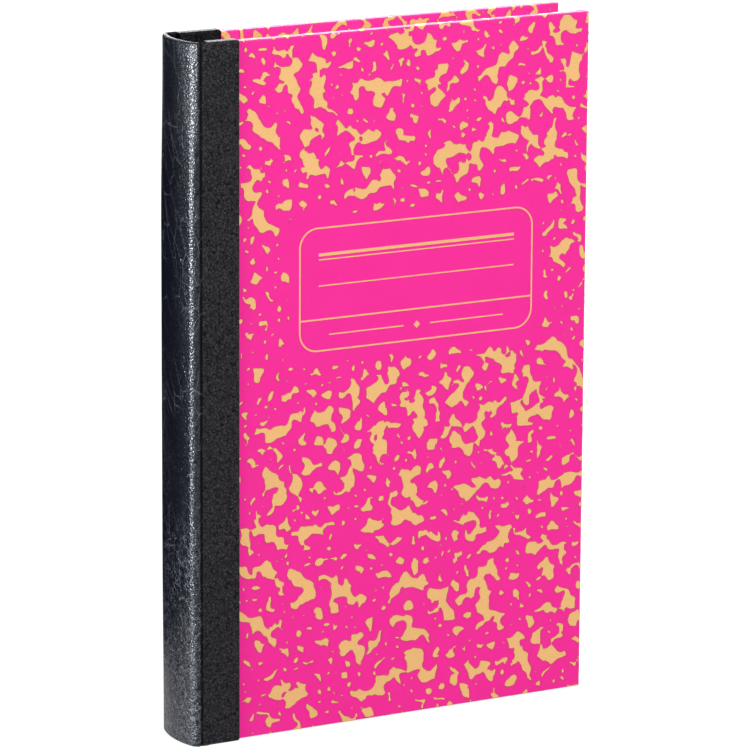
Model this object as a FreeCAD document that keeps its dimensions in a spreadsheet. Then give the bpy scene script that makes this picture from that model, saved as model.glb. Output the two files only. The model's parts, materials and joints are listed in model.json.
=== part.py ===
import FreeCAD, Part
import math
import os
import random
import Sketcher
from FreeCAD import Placement, Rotation, Vector

# Quarter-bound composition notebook, in millimetres.
#
# The book stands on its tail. Z runs from tail to head, X from the spine to the fore-edge and
# Y from the front cover to the back cover. The origin is the middle of the foot of the box that
# the closed book fills.
#
# Three groups make the book: the sewn block with the spine of its case, the front cover and the
# back cover. Each cover turns about the crease beside the spine, which lies in the plane of the
# cover's outer face. Leather and endpapers cross that crease on the real book, so they are cut
# there, with a narrow slit left between the two halves.

doc = FreeCAD.newDocument("composition_notebook")

# Driving dimensions
# Thicknesses count outwards from the board: leather or paper over it, turned-in edges and the
# pasted-down endpaper under it.
DRIVING_SIZES = {
    # The case as a whole
    "cover_height": 210.0,
    "cover_width": 130.0,
    "board_thick": 2.4,
    "leather_thick": 0.8,
    "leather_pared": 0.4,
    "paper_thick": 0.25,
    "pastedown_thick": 0.2,
    # Leather strips on the covers
    "front_strip": 12.7,
    "back_strip": 16.0,
    "joint_width": 2.5,
    "crease_slit": 0.1,
    "leather_round": 0.45,
    "leather_turn_in": 15.0,
    # Cover paper
    "paper_round": 0.35,
    "paper_turn_in": 11.6,
    "corner_slope": 2.4,
    "corner_lap": 0.1,
    # Spine of the case
    "spine_bulge": 4.1,
    "shoulder_radius": 2.8,
    "shoulder_flat": 0.3,
    "stiffener_thick": 0.7,
    # Sewn block
    "page_stack": 13.5,
    "flyleaf_thick": 0.15,
    "cover_clearance": 0.1,
    "head_square": 4.2,
    "fore_square": 4.0,
    "block_start": 0.4,
    "back_round": 1.5,
    "fore_hollow": 1.2,
    "mull_thick": 0.3,
    "mull_inset": 12.0,
    "lining_thick": 0.3,
    "band_radius": 0.7,
    "paste_margin": 4.5,
    "infill_gap": 0.3,
    # Label outline in gold foil
    "label_left": 32.4,
    "label_width": 79.0,
    "label_bottom": 115.2,
    "label_height": 37.2,
    "label_radius": 6.0,
    "label_rule": 9.4,
    "foil_line": 0.45,
    "foil_thick": 0.05,
    # Marbling flecks in gold foil
    "label_margin": 3.2,
    "stroke_step": 5.2,
    "stroke_width": 4.2,
    "drop_width": 4.4,
    "fleck_spacing": 0.5,
}


def make_sheet():
    sheet = doc.addObject("Spreadsheet::Sheet", "Sizes")
    for row, (alias, value) in enumerate(DRIVING_SIZES.items(), start=1):
        sheet.set("A%d" % row, alias)
        sheet.set("B%d" % row, str(value))
        sheet.setAlias("B%d" % row, alias)
    doc.recompute()
    return sheet


sizes = make_sheet()


def cells(expression):
    """Writes each name of a driving size in an expression as a reference to its cell."""
    words = expression.replace("(", " ( ").replace(")", " ) ").split()
    return " ".join("Sizes." + word if word in DRIVING_SIZES else word for word in words)


def value(expression):
    """The number that an expression of driving sizes has at present."""
    return float(sizes.evalExpression(cells(expression)))


# Sizes worked out from the driving ones
PAPER_FACE = "( leather_thick - paper_thick )"
BOARD_BACK = "( leather_thick + board_thick )"
COVER_DEPTH = "( leather_thick + board_thick + leather_pared + pastedown_thick )"
BLOCK_DEPTH = "( page_stack + 2 * flyleaf_thick )"
BOOK_DEPTH = "( 2 * %s + 2 * cover_clearance + %s )" % (COVER_DEPTH, BLOCK_DEPTH)
CREASE_X = "( ( spine_bulge - cover_width ) / 2 )"
BLOCK_HEIGHT = "( cover_height - 2 * head_square )"
BLOCK_END = "( cover_width - fore_square )"
HALF_SLIT = "( crease_slit / 2 )"


# Placing pieces
# A front cover piece is drawn from the crease at the tail of the cover's outer face, with Y going
# into the book. The same drawing turned over end for end is the back cover's piece. Block and
# spine pieces are drawn from the same crease, midway between the covers.

def place_in_front(piece):
    piece.setExpression("Placement.Base.x", cells(CREASE_X))
    piece.setExpression("Placement.Base.y", cells("- %s / 2" % BOOK_DEPTH))


def place_in_back(piece):
    piece.Placement = Placement(Vector(0, 0, 0), Rotation(Vector(1, 0, 0), 180))
    piece.setExpression("Placement.Base.x", cells(CREASE_X))
    piece.setExpression("Placement.Base.y", cells("%s / 2" % BOOK_DEPTH))
    piece.setExpression("Placement.Base.z", cells("cover_height"))


def place_in_block(piece):
    piece.setExpression("Placement.Base.x", cells(CREASE_X))


PLACE = {"front": place_in_front, "back": place_in_back}


# Drawing tools
# Cover pieces are drawn face on, in the XZ plane, and padded into the book. A pocket from the
# same plane cuts into the book too.

def make_body(label):
    return doc.addObject("PartDesign::Body", label)


def add_sketch(body, name, role, offset):
    """A sketch on one of the body's own planes, moved off it by an expression."""
    plane = next(item for item in body.Origin.OriginFeatures if item.Role == role)
    sketch = body.newObject("Sketcher::SketchObject", name)
    sketch.AttachmentSupport = [(plane, "")]
    sketch.MapMode = "FlatFace"
    sketch.setExpression("AttachmentOffset.Base.z", cells(offset))
    return sketch


def face_on_sketch(body, name, depth):
    """A sketch seen from outside the cover, at a depth below its outer face."""
    return add_sketch(body, name, "XZ_Plane", "- %s" % depth)


def plan_sketch(body, name, height):
    """A sketch seen from the head of the book, at a height above its tail."""
    return add_sketch(body, name, "XY_Plane", height)


def bind(sketch, constraint, expression):
    """Adds a sized constraint and ties it to the sheet."""
    index = sketch.addConstraint(constraint)
    sketch.setExpression("Constraints[%d]" % index, cells(expression))


def draw_loop(sketch, corners):
    """A closed run of straight lines whose corners are pairs of expressions."""
    points = [Vector(value(across), value(up), 0) for across, up in corners]
    first = sketch.GeometryCount
    count = len(points)
    for number, start in enumerate(points):
        sketch.addGeometry(Part.LineSegment(start, points[(number + 1) % count]), False)
    for number in range(count):
        joined = first + (number + 1) % count
        sketch.addConstraint(Sketcher.Constraint("Coincident", first + number, 2, joined, 1))
    for number, (across, up) in enumerate(corners):
        line = first + number
        bind(sketch, Sketcher.Constraint("DistanceX", -1, 1, line, 1, points[number].x), across)
        bind(sketch, Sketcher.Constraint("DistanceY", -1, 1, line, 1, points[number].y), up)


def draw_rectangle(sketch, left, bottom, right, top):
    draw_loop(sketch, [(left, bottom), (right, bottom), (right, top), (left, top)])


def pad(body, sketch, length, inwards=True):
    feature = body.newObject("PartDesign::Pad", sketch.Name + "_pad")
    feature.Profile = sketch
    feature.Reversed = inwards
    feature.setExpression("Length", cells(length))
    doc.recompute()
    return feature


def pocket(body, sketch, length):
    before = body.Shape.Volume
    feature = body.newObject("PartDesign::Pocket", sketch.Name + "_pocket")
    feature.Profile = sketch
    feature.setExpression("Length", cells(length))
    doc.recompute()
    if body.Shape.Volume >= before:
        raise RuntimeError("%s cuts nothing" % feature.Name)
    return feature


def fillet(body, radius, wanted):
    """Rounds the edges of the body's tip that a test picks out."""
    tip = body.Tip
    names = ["Edge%d" % number for number, edge in enumerate(tip.Shape.Edges, start=1) if wanted(edge)]
    feature = body.newObject("PartDesign::Fillet", "round")
    feature.Base = (tip, names)
    feature.setExpression("Radius", cells(radius))
    doc.recompute()
    return feature


def is_near(first, second):
    return abs(first - second) < 1e-4


def edge_lies_at(edge, **places):
    """True for an edge that keeps to the given x, y or z over its whole length."""
    box = edge.BoundBox
    low = {"x": box.XMin, "y": box.YMin, "z": box.ZMin}
    high = {"x": box.XMax, "y": box.YMax, "z": box.ZMax}
    return all(is_near(low[axis], at) and is_near(high[axis], at) for axis, at in places.items())


# Covers

def make_board(side):
    """Stiff grey board. It starts past the joint, so that the leather can bend beside it."""
    body = make_body(side + "_board")
    sketch = face_on_sketch(body, side + "_board_outline", "leather_thick")
    draw_rectangle(sketch, "joint_width", "leather_thick",
                   "cover_width - paper_thick", "cover_height - leather_thick")
    pad(body, sketch, "board_thick")
    PLACE[side](body)
    return body


def make_cover_leather(side, strip):
    """Leather strip: over the face, round the board at head and tail and down its back."""
    body = make_body(side + "_cover_leather")
    outside = face_on_sketch(body, side + "_leather_outline", "0")
    draw_rectangle(outside, HALF_SLIT, "0", strip, "cover_height")
    pad(body, outside, "%s + leather_pared" % BOARD_BACK)

    past_the_strip = "%s + joint_width" % strip
    board_slot = face_on_sketch(body, side + "_leather_board_slot", "leather_thick")
    draw_rectangle(board_slot, "joint_width", "leather_thick",
                   past_the_strip, "cover_height - leather_thick")
    pocket(body, board_slot, "board_thick")

    window = face_on_sketch(body, side + "_leather_window", BOARD_BACK)
    draw_rectangle(window, "0", "leather_turn_in", past_the_strip, "cover_height - leather_turn_in")
    pocket(body, window, "leather_pared")

    joint = face_on_sketch(body, side + "_joint", "( leather_thick + leather_pared )")
    draw_rectangle(joint, "0", "0", "joint_width", "cover_height")
    pocket(body, joint, "board_thick")

    single = face_on_sketch(body, side + "_joint_single", "leather_thick")
    draw_rectangle(single, "0", "leather_turn_in", "joint_width", "cover_height - leather_turn_in")
    pocket(body, single, "leather_pared")

    crease = value(HALF_SLIT)
    edge_of_strip = value(strip)
    head = value("cover_height")
    fillet(body, "leather_round",
           lambda edge: edge_lies_at(edge, x=crease, y=0) or edge_lies_at(edge, x=edge_of_strip, y=0)
           or edge_lies_at(edge, y=0, z=0) or edge_lies_at(edge, y=0, z=head))
    PLACE[side](body)
    return body


def make_cover_paper(side, strip):
    """Cover paper: over the face from the leather on, round three edges and turned in.

    The turn-in at the fore-edge laps over those at head and tail, with its ends cut aslant."""
    body = make_body(side + "_cover_paper")
    outside = face_on_sketch(body, side + "_paper_outline", PAPER_FACE)
    draw_rectangle(outside, strip, PAPER_FACE, "cover_width", "cover_height - %s" % PAPER_FACE)
    pad(body, outside, "board_thick + 2 * paper_thick")

    before_the_strip = "%s - joint_width" % strip
    board_slot = face_on_sketch(body, side + "_paper_board_slot", "leather_thick")
    draw_rectangle(board_slot, before_the_strip, "leather_thick",
                   "cover_width - paper_thick", "cover_height - leather_thick")
    pocket(body, board_slot, "board_thick")

    window = face_on_sketch(body, side + "_paper_window", BOARD_BACK)
    draw_rectangle(window, before_the_strip, "paper_turn_in",
                   "cover_width - paper_turn_in", "cover_height - paper_turn_in")
    pocket(body, window, "paper_thick")

    face = value(PAPER_FACE)
    back = value("%s + paper_thick" % BOARD_BACK)
    fore_edge = value("cover_width")
    head = value("cover_height - %s" % PAPER_FACE)
    fillet(body, "paper_round",
           lambda edge: edge_lies_at(edge, y=face, x=fore_edge)
           or edge_lies_at(edge, y=back, x=fore_edge)
           or edge_lies_at(edge, y=face, z=face) or edge_lies_at(edge, y=face, z=head)
           or edge_lies_at(edge, y=back, z=face) or edge_lies_at(edge, y=back, z=head))

    lap = face_on_sketch(body, side + "_corner_lap", "( %s + paper_thick )" % BOARD_BACK)
    tail_corner = "%s + paper_round" % PAPER_FACE
    head_corner = "cover_height - %s - paper_round" % PAPER_FACE
    draw_loop(lap, [
        ("cover_width - paper_turn_in", "%s + corner_slope" % tail_corner),
        ("cover_width - paper_round", tail_corner),
        ("cover_width - paper_round", head_corner),
        ("cover_width - paper_turn_in", "%s - corner_slope" % head_corner),
    ])
    pad(body, lap, "corner_lap")
    PLACE[side](body)
    return body


def make_pastedown(side):
    """Pasted-down half of the endpaper, with the card that levels the board between turn-ins."""
    body = make_body(side + "_pastedown")
    start = "joint_width + infill_gap"
    infill = face_on_sketch(body, side + "_infill", BOARD_BACK)
    draw_rectangle(infill, start, "leather_turn_in + infill_gap",
                   "cover_width - paper_turn_in - infill_gap",
                   "cover_height - leather_turn_in - infill_gap")
    pad(body, infill, "leather_pared")
    paper = face_on_sketch(body, side + "_endpaper", "( %s + leather_pared )" % BOARD_BACK)
    draw_rectangle(paper, start, "paste_margin",
                   "cover_width - paste_margin", "cover_height - paste_margin")
    pad(body, paper, "pastedown_thick")
    PLACE[side](body)
    return body


# Spine of the case
# Its outline in plan is a short flat beside each crease, a round shoulder and one shallow arch
# that touches both shoulders. Every layer follows it at its own depth.

def spine_outline(depth, flat):
    """Edges of the spine's outline at a depth below its surface, from front to back."""
    half = value(BOOK_DEPTH) / 2
    shoulder = value("shoulder_radius")
    reach = value("spine_bulge - shoulder_flat")
    drop = half - shoulder
    arch = (drop ** 2 + reach ** 2 - shoulder ** 2) / (2 * (reach - shoulder))
    turn = math.asin(drop / (arch - shoulder))
    shoulder_x = -value("shoulder_flat")
    arch_x = arch - value("spine_bulge")

    def along(centre, radius, angle):
        return centre + Vector(math.cos(angle), math.sin(angle), 0) * radius

    def arc(centre, radius, start, end):
        return Part.Arc(along(centre, radius, start), along(centre, radius, (start + end) / 2),
                        along(centre, radius, end))

    front = Vector(shoulder_x, -drop, 0)
    back = Vector(shoulder_x, drop, 0)
    middle = Vector(arch_x, 0, 0)
    edges = [
        arc(front, shoulder - depth, -math.pi / 2, -math.pi + turn),
        arc(middle, arch - depth, -math.pi + turn, -math.pi - turn),
        arc(back, shoulder - depth, -math.pi - turn, -3 * math.pi / 2),
    ]
    if flat:
        end_x = -value(HALF_SLIT)
        first = Vector(end_x, -half + depth, 0)
        last = Vector(end_x, half - depth, 0)
        edges.insert(0, Part.LineSegment(first, edges[0].StartPoint))
        edges.append(Part.LineSegment(edges[-1].EndPoint, last))
    return edges


def draw_layer(sketch, outer_edges, inner_edges):
    """Closes two outlines that run the same way into one band."""
    first_end = Part.LineSegment(outer_edges[0].StartPoint, inner_edges[0].StartPoint)
    last_end = Part.LineSegment(outer_edges[-1].EndPoint, inner_edges[-1].EndPoint)
    sketch.addGeometry(outer_edges + inner_edges + [first_end, last_end], False)
    # Curves and lines keep the places that the sizes give them.
    for index in range(sketch.GeometryCount):
        sketch.addConstraint(Sketcher.Constraint("Block", index))


def spine_layer(body, name, height, length, outer, inner, flat=True):
    """One stretch of the spine between two depths, from a height upwards."""
    sketch = plan_sketch(body, name, height)
    draw_layer(sketch, spine_outline(value(outer), flat), spine_outline(value(inner), flat))
    return pad(body, sketch, length, inwards=False)


def make_spine_leather():
    """Leather of the spine, turned in over the stiffener at head and tail."""
    body = make_body("spine_leather")
    under = "leather_thick + stiffener_thick"
    inside = "leather_thick + stiffener_thick + leather_pared"
    spine_layer(body, "spine_shell", "0", "cover_height", "0", "leather_thick")
    spine_layer(body, "tail_cap", "0", "leather_thick", "0", inside)
    spine_layer(body, "head_cap", "cover_height - leather_thick", "leather_thick", "0", inside)
    spine_layer(body, "tail_turn_in", "0", "leather_turn_in", under, inside)
    spine_layer(body, "head_turn_in", "cover_height - leather_turn_in", "leather_turn_in",
                under, inside)
    crease = -value(HALF_SLIT)
    face = value(BOOK_DEPTH) / 2
    fillet(body, "leather_round",
           lambda edge: edge_lies_at(edge, x=crease, y=-face) or edge_lies_at(edge, x=crease, y=face))
    place_in_block(body)
    return body


def make_spine_stiffener():
    """Card bent to the spine's arch, inside the leather. The space behind it is hollow."""
    body = make_body("spine_stiffener")
    spine_layer(body, "stiffener_section", "leather_thick", "cover_height - 2 * leather_thick",
                "leather_thick", "leather_thick + stiffener_thick", flat=False)
    place_in_block(body)
    return body


# Sewn block

def back_radius():
    """Radius of the block's rounded back, from its width and its rise."""
    half = value("page_stack") / 2
    rise = value("back_round")
    return (half ** 2 + rise ** 2) / (2 * rise)


def rounded_back(offset):
    """Arc of the block's rounded back, from front to back, moved outwards by an offset."""
    radius = back_radius()
    turn = math.asin(value("page_stack") / 2 / radius)
    centre = Vector(value("block_start - back_round") + radius, 0, 0)
    reach = radius + offset
    start = centre + Vector(-math.cos(turn), -math.sin(turn), 0) * reach
    end = centre + Vector(-math.cos(turn), math.sin(turn), 0) * reach
    return Part.Arc(start, centre - Vector(reach, 0, 0), end)


def make_page_block():
    """All pages as one solid, with the rounded back that leaves a hollow fore-edge."""
    body = make_body("page_block")
    sketch = plan_sketch(body, "page_outline", "head_square")
    half = value("page_stack") / 2
    end = value(BLOCK_END)
    back = rounded_back(0)
    front_corner = Vector(end, -half, 0)
    back_corner = Vector(end, half, 0)
    hollow = Part.Arc(front_corner, Vector(end - value("fore_hollow"), 0, 0), back_corner)
    sketch.addGeometry([
        back,
        Part.LineSegment(back.EndPoint, back_corner),
        hollow,
        Part.LineSegment(front_corner, back.StartPoint),
    ], False)
    for index in range(sketch.GeometryCount):
        sketch.addConstraint(Sketcher.Constraint("Block", index))
    pad(body, sketch, BLOCK_HEIGHT, inwards=False)
    place_in_block(body)
    return body


def make_flyleaf(side):
    """Free half of the endpaper, tipped to the outside of the block."""
    leaf = doc.addObject("Part::Box", side + "_flyleaf")
    leaf.setExpression("Length", cells("%s - block_start" % BLOCK_END))
    leaf.setExpression("Width", cells("flyleaf_thick"))
    leaf.setExpression("Height", cells(BLOCK_HEIGHT))
    leaf.setExpression("Placement.Base.x", cells("%s + block_start" % CREASE_X))
    face = {"front": "- page_stack / 2 - flyleaf_thick", "back": "page_stack / 2"}
    leaf.setExpression("Placement.Base.y", cells(face[side]))
    leaf.setExpression("Placement.Base.z", cells("head_square"))
    return leaf


def make_back_layer(label, inner, outer, bottom, length):
    """A strip glued round the block's back, between two offsets from the pages."""
    body = make_body(label)
    sketch = plan_sketch(body, label + "_section", bottom)
    draw_layer(sketch, [rounded_back(value(outer))], [rounded_back(value(inner))])
    pad(body, sketch, length, inwards=False)
    place_in_block(body)
    return body


def make_band(label, height):
    """Headband: a sewn bead along the end of the block's back."""
    body = make_body(label)
    half = value("page_stack") / 2
    radius = back_radius()
    centre_x = value("block_start - back_round") + radius
    bead_x = value("block_start - back_round + band_radius")
    middle = value(height)
    profile = face_on_sketch(body, label + "_profile", "0")
    profile.addGeometry(Part.Circle(Vector(bead_x, middle, 0), Vector(0, 0, 1), value("band_radius")), False)
    axis = Part.LineSegment(Vector(centre_x, 0, 0), Vector(centre_x, 1, 0))
    profile.addGeometry(axis, True)
    bind(profile, Sketcher.Constraint("Radius", 0, value("band_radius")), "band_radius")
    bead = body.newObject("PartDesign::Revolution", label + "_bead")
    bead.Profile = profile
    bead.ReferenceAxis = (profile, ["Axis0"])
    bead.Midplane = True
    bead.Angle = math.degrees(2 * math.asin((half - value("band_radius")) / radius))
    place_in_block(body)
    return body


# Gold foil on the covers

def make_label_outline():
    """Outline of the label: a round-cornered frame with one rule across its foot."""
    body = make_body("label_outline")
    sketch = face_on_sketch(body, "label_lines", "( %s - foil_thick )" % PAPER_FACE)
    left = value("label_left")
    right = left + value("label_width")
    bottom = value("label_bottom")
    top = bottom + value("label_height")
    line = value("foil_line")
    radius = value("label_radius")
    rule = bottom + value("label_rule")

    def draw_window(low, high, inset, low_radius, high_radius):
        """A round-cornered loop. A corner radius of zero leaves a square corner."""
        corners = [
            (left + inset, low, low_radius, math.pi),
            (right - inset, low, low_radius, 3 * math.pi / 2),
            (right - inset, high, high_radius, 0.0),
            (left + inset, high, high_radius, math.pi / 2),
        ]
        inward = [(1, 1), (-1, 1), (-1, -1), (1, -1)]
        ends = []
        for (across, up, bend, start), (sign_x, sign_y) in zip(corners, inward):
            centre = Vector(across + sign_x * bend, up + sign_y * bend, 0)
            if bend > 0:
                circle = Part.Circle(centre, Vector(0, 0, 1), bend)
                arc = Part.ArcOfCircle(circle, start, start + math.pi / 2)
                sketch.addGeometry(arc, False)
                ends.append((arc.StartPoint, arc.EndPoint))
            else:
                ends.append((centre, centre))
        for number, (_, leave) in enumerate(ends):
            arrive = ends[(number + 1) % len(ends)][0]
            sketch.addGeometry(Part.LineSegment(leave, arrive), False)

    draw_window(bottom, top, 0.0, radius, radius)
    draw_window(rule + line, top - line, line, 0.0, radius - line)
    draw_window(bottom + line, rule, line, radius - line, 0.0)
    for index in range(sketch.GeometryCount):
        sketch.addConstraint(Sketcher.Constraint("Block", index))
    pad(body, sketch, "foil_thick")
    place_in_front(body)
    return body


# Flecks are bent strokes with a thorn on one side, and small drops between them. Each keeps discs
# along itself, which only serve to hold the others off.
STROKE_TRIES = 2600
STROKE_LIMIT = 70
STROKE_POINTS = 4
STROKE_BEND = 0.75
STROKE_WAVER = 0.3
DROP_TRIES = 5000
DROP_LIMIT = 130
DROP_CORNERS = 5


def stroke_fleck(chance, across, up):
    """A bent stroke: its outline and its discs."""
    step = value("stroke_step")
    half_width = value("stroke_width") / 2
    heading = chance.uniform(-math.pi, math.pi)
    bend = chance.uniform(-STROKE_BEND, STROKE_BEND)
    thorn_at = chance.randrange(1, STROKE_POINTS - 1)
    thorn_side = chance.choice((0, 1))
    sides = ([], [])
    discs = []
    for number in range(STROKE_POINTS):
        radius = half_width * chance.uniform(0.45, 1.0)
        discs.append((across, up, radius))
        for side, turn in enumerate((math.pi / 2, -math.pi / 2)):
            reach = radius * chance.uniform(0.7, 1.0)
            if number == thorn_at and side == thorn_side:
                reach = half_width * chance.uniform(1.6, 2.4)
                discs.append((across + reach / 2 * math.cos(heading + turn),
                              up + reach / 2 * math.sin(heading + turn), reach / 2))
            sides[side].append((across + reach * math.cos(heading + turn),
                                up + reach * math.sin(heading + turn)))
        if number == 0:
            tail = (across - radius * math.cos(heading), up - radius * math.sin(heading))
        if number == STROKE_POINTS - 1:
            head = (across + radius * math.cos(heading), up + radius * math.sin(heading))
        stride = step * chance.uniform(0.6, 1.0)
        half_way = (across + stride / 2 * math.cos(heading), up + stride / 2 * math.sin(heading), radius)
        if number < STROKE_POINTS - 1:
            discs.append(half_way)
        across += stride * math.cos(heading)
        up += stride * math.sin(heading)
        heading += bend + chance.uniform(-STROKE_WAVER, STROKE_WAVER)
    return [tail] + sides[1] + [head] + sides[0][::-1], discs


def drop_fleck(chance, across, up):
    """A small drop: its outline and its disc."""
    radius = value("drop_width") / 2 * chance.uniform(0.45, 1.0)
    heading = chance.uniform(0.0, 2 * math.pi)
    outline = []
    for corner in range(DROP_CORNERS):
        angle = 2 * math.pi * corner / DROP_CORNERS
        reach = radius * (0.72 + 0.28 * math.cos(2 * angle)) * chance.uniform(0.8, 1.0)
        outline.append((across + reach * math.cos(angle + heading), up + reach * math.sin(angle + heading)))
    return outline, [(across, up, radius)]


def scatter_flecks(chance, left, right, blocked):
    """Outlines of flecks, strokes first and then drops in the gaps between them."""
    low = value(PAPER_FACE)
    high = value("cover_height - %s" % PAPER_FACE)
    spacing = value("fleck_spacing")
    taken = []

    def is_free(disc):
        across, up, radius = disc
        if not (left + radius < across < right - radius and low + radius < up < high - radius):
            return False
        if blocked.isInside(Vector(across, 0, up)):
            return False
        return all(math.hypot(across - x, up - z) > radius + other + spacing for x, z, other in taken)

    outlines = []
    for shape, tries, limit in ((stroke_fleck, STROKE_TRIES, STROKE_LIMIT), (drop_fleck, DROP_TRIES, DROP_LIMIT)):
        count = 0
        for attempt in range(tries):
            outline, discs = shape(chance, chance.uniform(left, right), chance.uniform(low, high))
            if count < limit and all(is_free(disc) for disc in discs):
                outlines.append(outline)
                taken.extend(discs)
                count += 1
    return outlines


def make_flecks(side, strip, seed):
    """Marbling as separate flecks of foil on the cover paper, none under the label."""
    chance = random.Random(seed)
    surface = value(PAPER_FACE)
    foil = value("foil_thick")
    margin = value("label_margin + stroke_width / 2")
    left = value("label_left") - margin
    right = value("label_left + label_width") + margin
    bottom = value("label_bottom") - margin
    top = value("label_bottom + label_height") + margin
    blocked = FreeCAD.BoundBox(left, -1, bottom, right, 1, top)
    if side == "back":
        blocked = FreeCAD.BoundBox(-2, -2, -2, -1, -1, -1)
    flecks = []
    for outline in scatter_flecks(chance, value(strip), value("cover_width"), blocked):
        corners = [Vector(across, surface - foil, up) for across, up in outline]
        face = Part.Face(Part.makePolygon(corners + corners[:1]))
        flecks.append(face.extrude(Vector(0, foil, 0)))
    piece = doc.addObject("Part::Feature", side + "_gold_flecks")
    piece.Shape = Part.makeCompound(flecks)
    PLACE[side](piece)
    return piece


# The whole book

def make_cover(side, strip, seed):
    return [
        make_board(side),
        make_cover_leather(side, strip),
        make_cover_paper(side, strip),
        make_pastedown(side),
        make_flecks(side, strip, seed),
    ]


def make_block():
    under_lining = "mull_thick"
    over_lining = "mull_thick + lining_thick"
    head = "cover_height - head_square + band_radius"
    return [
        make_page_block(),
        make_flyleaf("front"),
        make_flyleaf("back"),
        make_back_layer("spine_mull", "0", "mull_thick", "head_square + mull_inset",
                        "%s - 2 * mull_inset" % BLOCK_HEIGHT),
        make_back_layer("spine_lining", under_lining, over_lining, "head_square", BLOCK_HEIGHT),
        make_band("head_band", head),
        make_band("tail_band", "head_square - band_radius"),
    ]


def check(pieces):
    """Stops the build where an object failed or a piece has no sound solid."""
    for item in doc.Objects:
        if "Invalid" in item.State or "Error" in item.State:
            raise RuntimeError("%s failed: %s" % (item.Label, item.State))
    for piece in pieces:
        if piece.Shape.isNull() or not piece.Shape.isValid() or not piece.Shape.Solids:
            raise RuntimeError("%s has no valid solid" % piece.Label)


def main():
    pieces = make_block()
    pieces += [make_spine_stiffener(), make_spine_leather()]
    pieces += make_cover("front", "front_strip", 5)
    pieces += make_cover("back", "back_strip", 8)
    pieces.append(make_label_outline())
    doc.recompute()
    check(pieces)
    os.makedirs("parts", exist_ok=True)
    for piece in pieces:
        piece.Shape.exportStep("parts/%s.step" % piece.Label)
    for piece in pieces:
        box = piece.Shape.BoundBox
        print("%-20s %2d solids %9.1f mm3  x %.2f %.2f  y %.2f %.2f  z %.2f %.2f" % (
            piece.Label, len(piece.Shape.Solids), piece.Shape.Volume,
            box.XMin, box.XMax, box.YMin, box.YMax, box.ZMin, box.ZMax))


main()
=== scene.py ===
# %% [markdown]
# A composition notebook bound in quarter leather stands on its tail. The construction comes from
# the CAD model, which is loaded first and never moved or reshaped. Blender adds what makes it look
# real: leather that bends over the joints, marbling in gold foil, page edges, cloth and paper.

# %% Load the frame
import json
import math
import random

import bmesh
import bpy
import numpy as np
from mathutils import Matrix, Vector

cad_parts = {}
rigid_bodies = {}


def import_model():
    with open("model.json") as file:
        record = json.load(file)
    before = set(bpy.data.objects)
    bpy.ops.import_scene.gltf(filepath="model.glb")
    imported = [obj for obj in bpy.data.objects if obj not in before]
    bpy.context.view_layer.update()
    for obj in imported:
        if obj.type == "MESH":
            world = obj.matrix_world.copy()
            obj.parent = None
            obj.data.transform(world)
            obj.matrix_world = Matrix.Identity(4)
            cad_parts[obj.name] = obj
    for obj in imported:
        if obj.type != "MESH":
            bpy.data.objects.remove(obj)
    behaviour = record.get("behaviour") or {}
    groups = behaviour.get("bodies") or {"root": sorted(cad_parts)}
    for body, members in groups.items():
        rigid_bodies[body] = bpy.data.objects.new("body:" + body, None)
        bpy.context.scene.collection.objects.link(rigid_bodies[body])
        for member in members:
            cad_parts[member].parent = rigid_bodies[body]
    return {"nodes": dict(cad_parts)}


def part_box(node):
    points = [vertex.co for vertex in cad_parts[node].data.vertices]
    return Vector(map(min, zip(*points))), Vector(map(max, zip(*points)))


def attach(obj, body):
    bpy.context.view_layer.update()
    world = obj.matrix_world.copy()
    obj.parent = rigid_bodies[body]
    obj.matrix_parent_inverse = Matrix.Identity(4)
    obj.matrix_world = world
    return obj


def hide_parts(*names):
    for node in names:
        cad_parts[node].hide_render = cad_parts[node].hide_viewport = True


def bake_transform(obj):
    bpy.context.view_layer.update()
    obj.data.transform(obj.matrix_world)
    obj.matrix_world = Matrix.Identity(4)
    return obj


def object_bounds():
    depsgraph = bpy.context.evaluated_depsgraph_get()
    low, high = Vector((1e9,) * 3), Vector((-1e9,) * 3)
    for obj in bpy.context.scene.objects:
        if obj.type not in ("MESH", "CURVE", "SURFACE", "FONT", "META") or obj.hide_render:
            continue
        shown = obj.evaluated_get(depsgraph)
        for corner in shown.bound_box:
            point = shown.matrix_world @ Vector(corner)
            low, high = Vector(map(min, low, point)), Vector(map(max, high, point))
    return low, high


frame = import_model()
cad_low, cad_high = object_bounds()
print("CAD box:", [round(v, 4) for v in (*cad_low, *cad_high)])

# %% [markdown]
# All sizes are in metres, so a helper value for a millimetre keeps them readable. The places of
# the creases, the covers' faces and the strips are measured on the frame's own pieces, and nothing
# has to be fitted afterwards.

# %% Measure the frame
MM = 0.001
HEIGHT = cad_high.z
HALF_DEPTH = cad_high.y
SPINE_BACK = cad_low.x
FORE_EDGE = cad_high.x
SLIT = 0.05 * MM
CREASE_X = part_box("front_cover_leather")[0].x - SLIT
BOARD_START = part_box("front_board")[0].x - CREASE_X
STRIP = {side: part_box(side + "_cover_leather")[1].x - CREASE_X for side in ("front", "back")}
COVER_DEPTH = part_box("front_cover_leather")[1].y + HALF_DEPTH
PAPER_DEPTH = HALF_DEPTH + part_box("front_cover_paper")[0].y
OUTWARD = {"front": -1.0, "back": 1.0}
print("crease at x", round(CREASE_X, 4), "strips", {k: round(v, 4) for k, v in STRIP.items()})


def place(side, across, depth, up):
    """A point on a cover: across from the crease, deep from its outer face, up from the tail."""
    return Vector((CREASE_X + across, OUTWARD[side] * (HALF_DEPTH - depth), up))


# %% [markdown]
# The picture uses the plain Standard view transform, so that a colour renders about as written.
# The camera stands in front of the book's left, a little above it, with a long lens. Its place
# was fitted to the cover's corners in the photograph.

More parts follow.
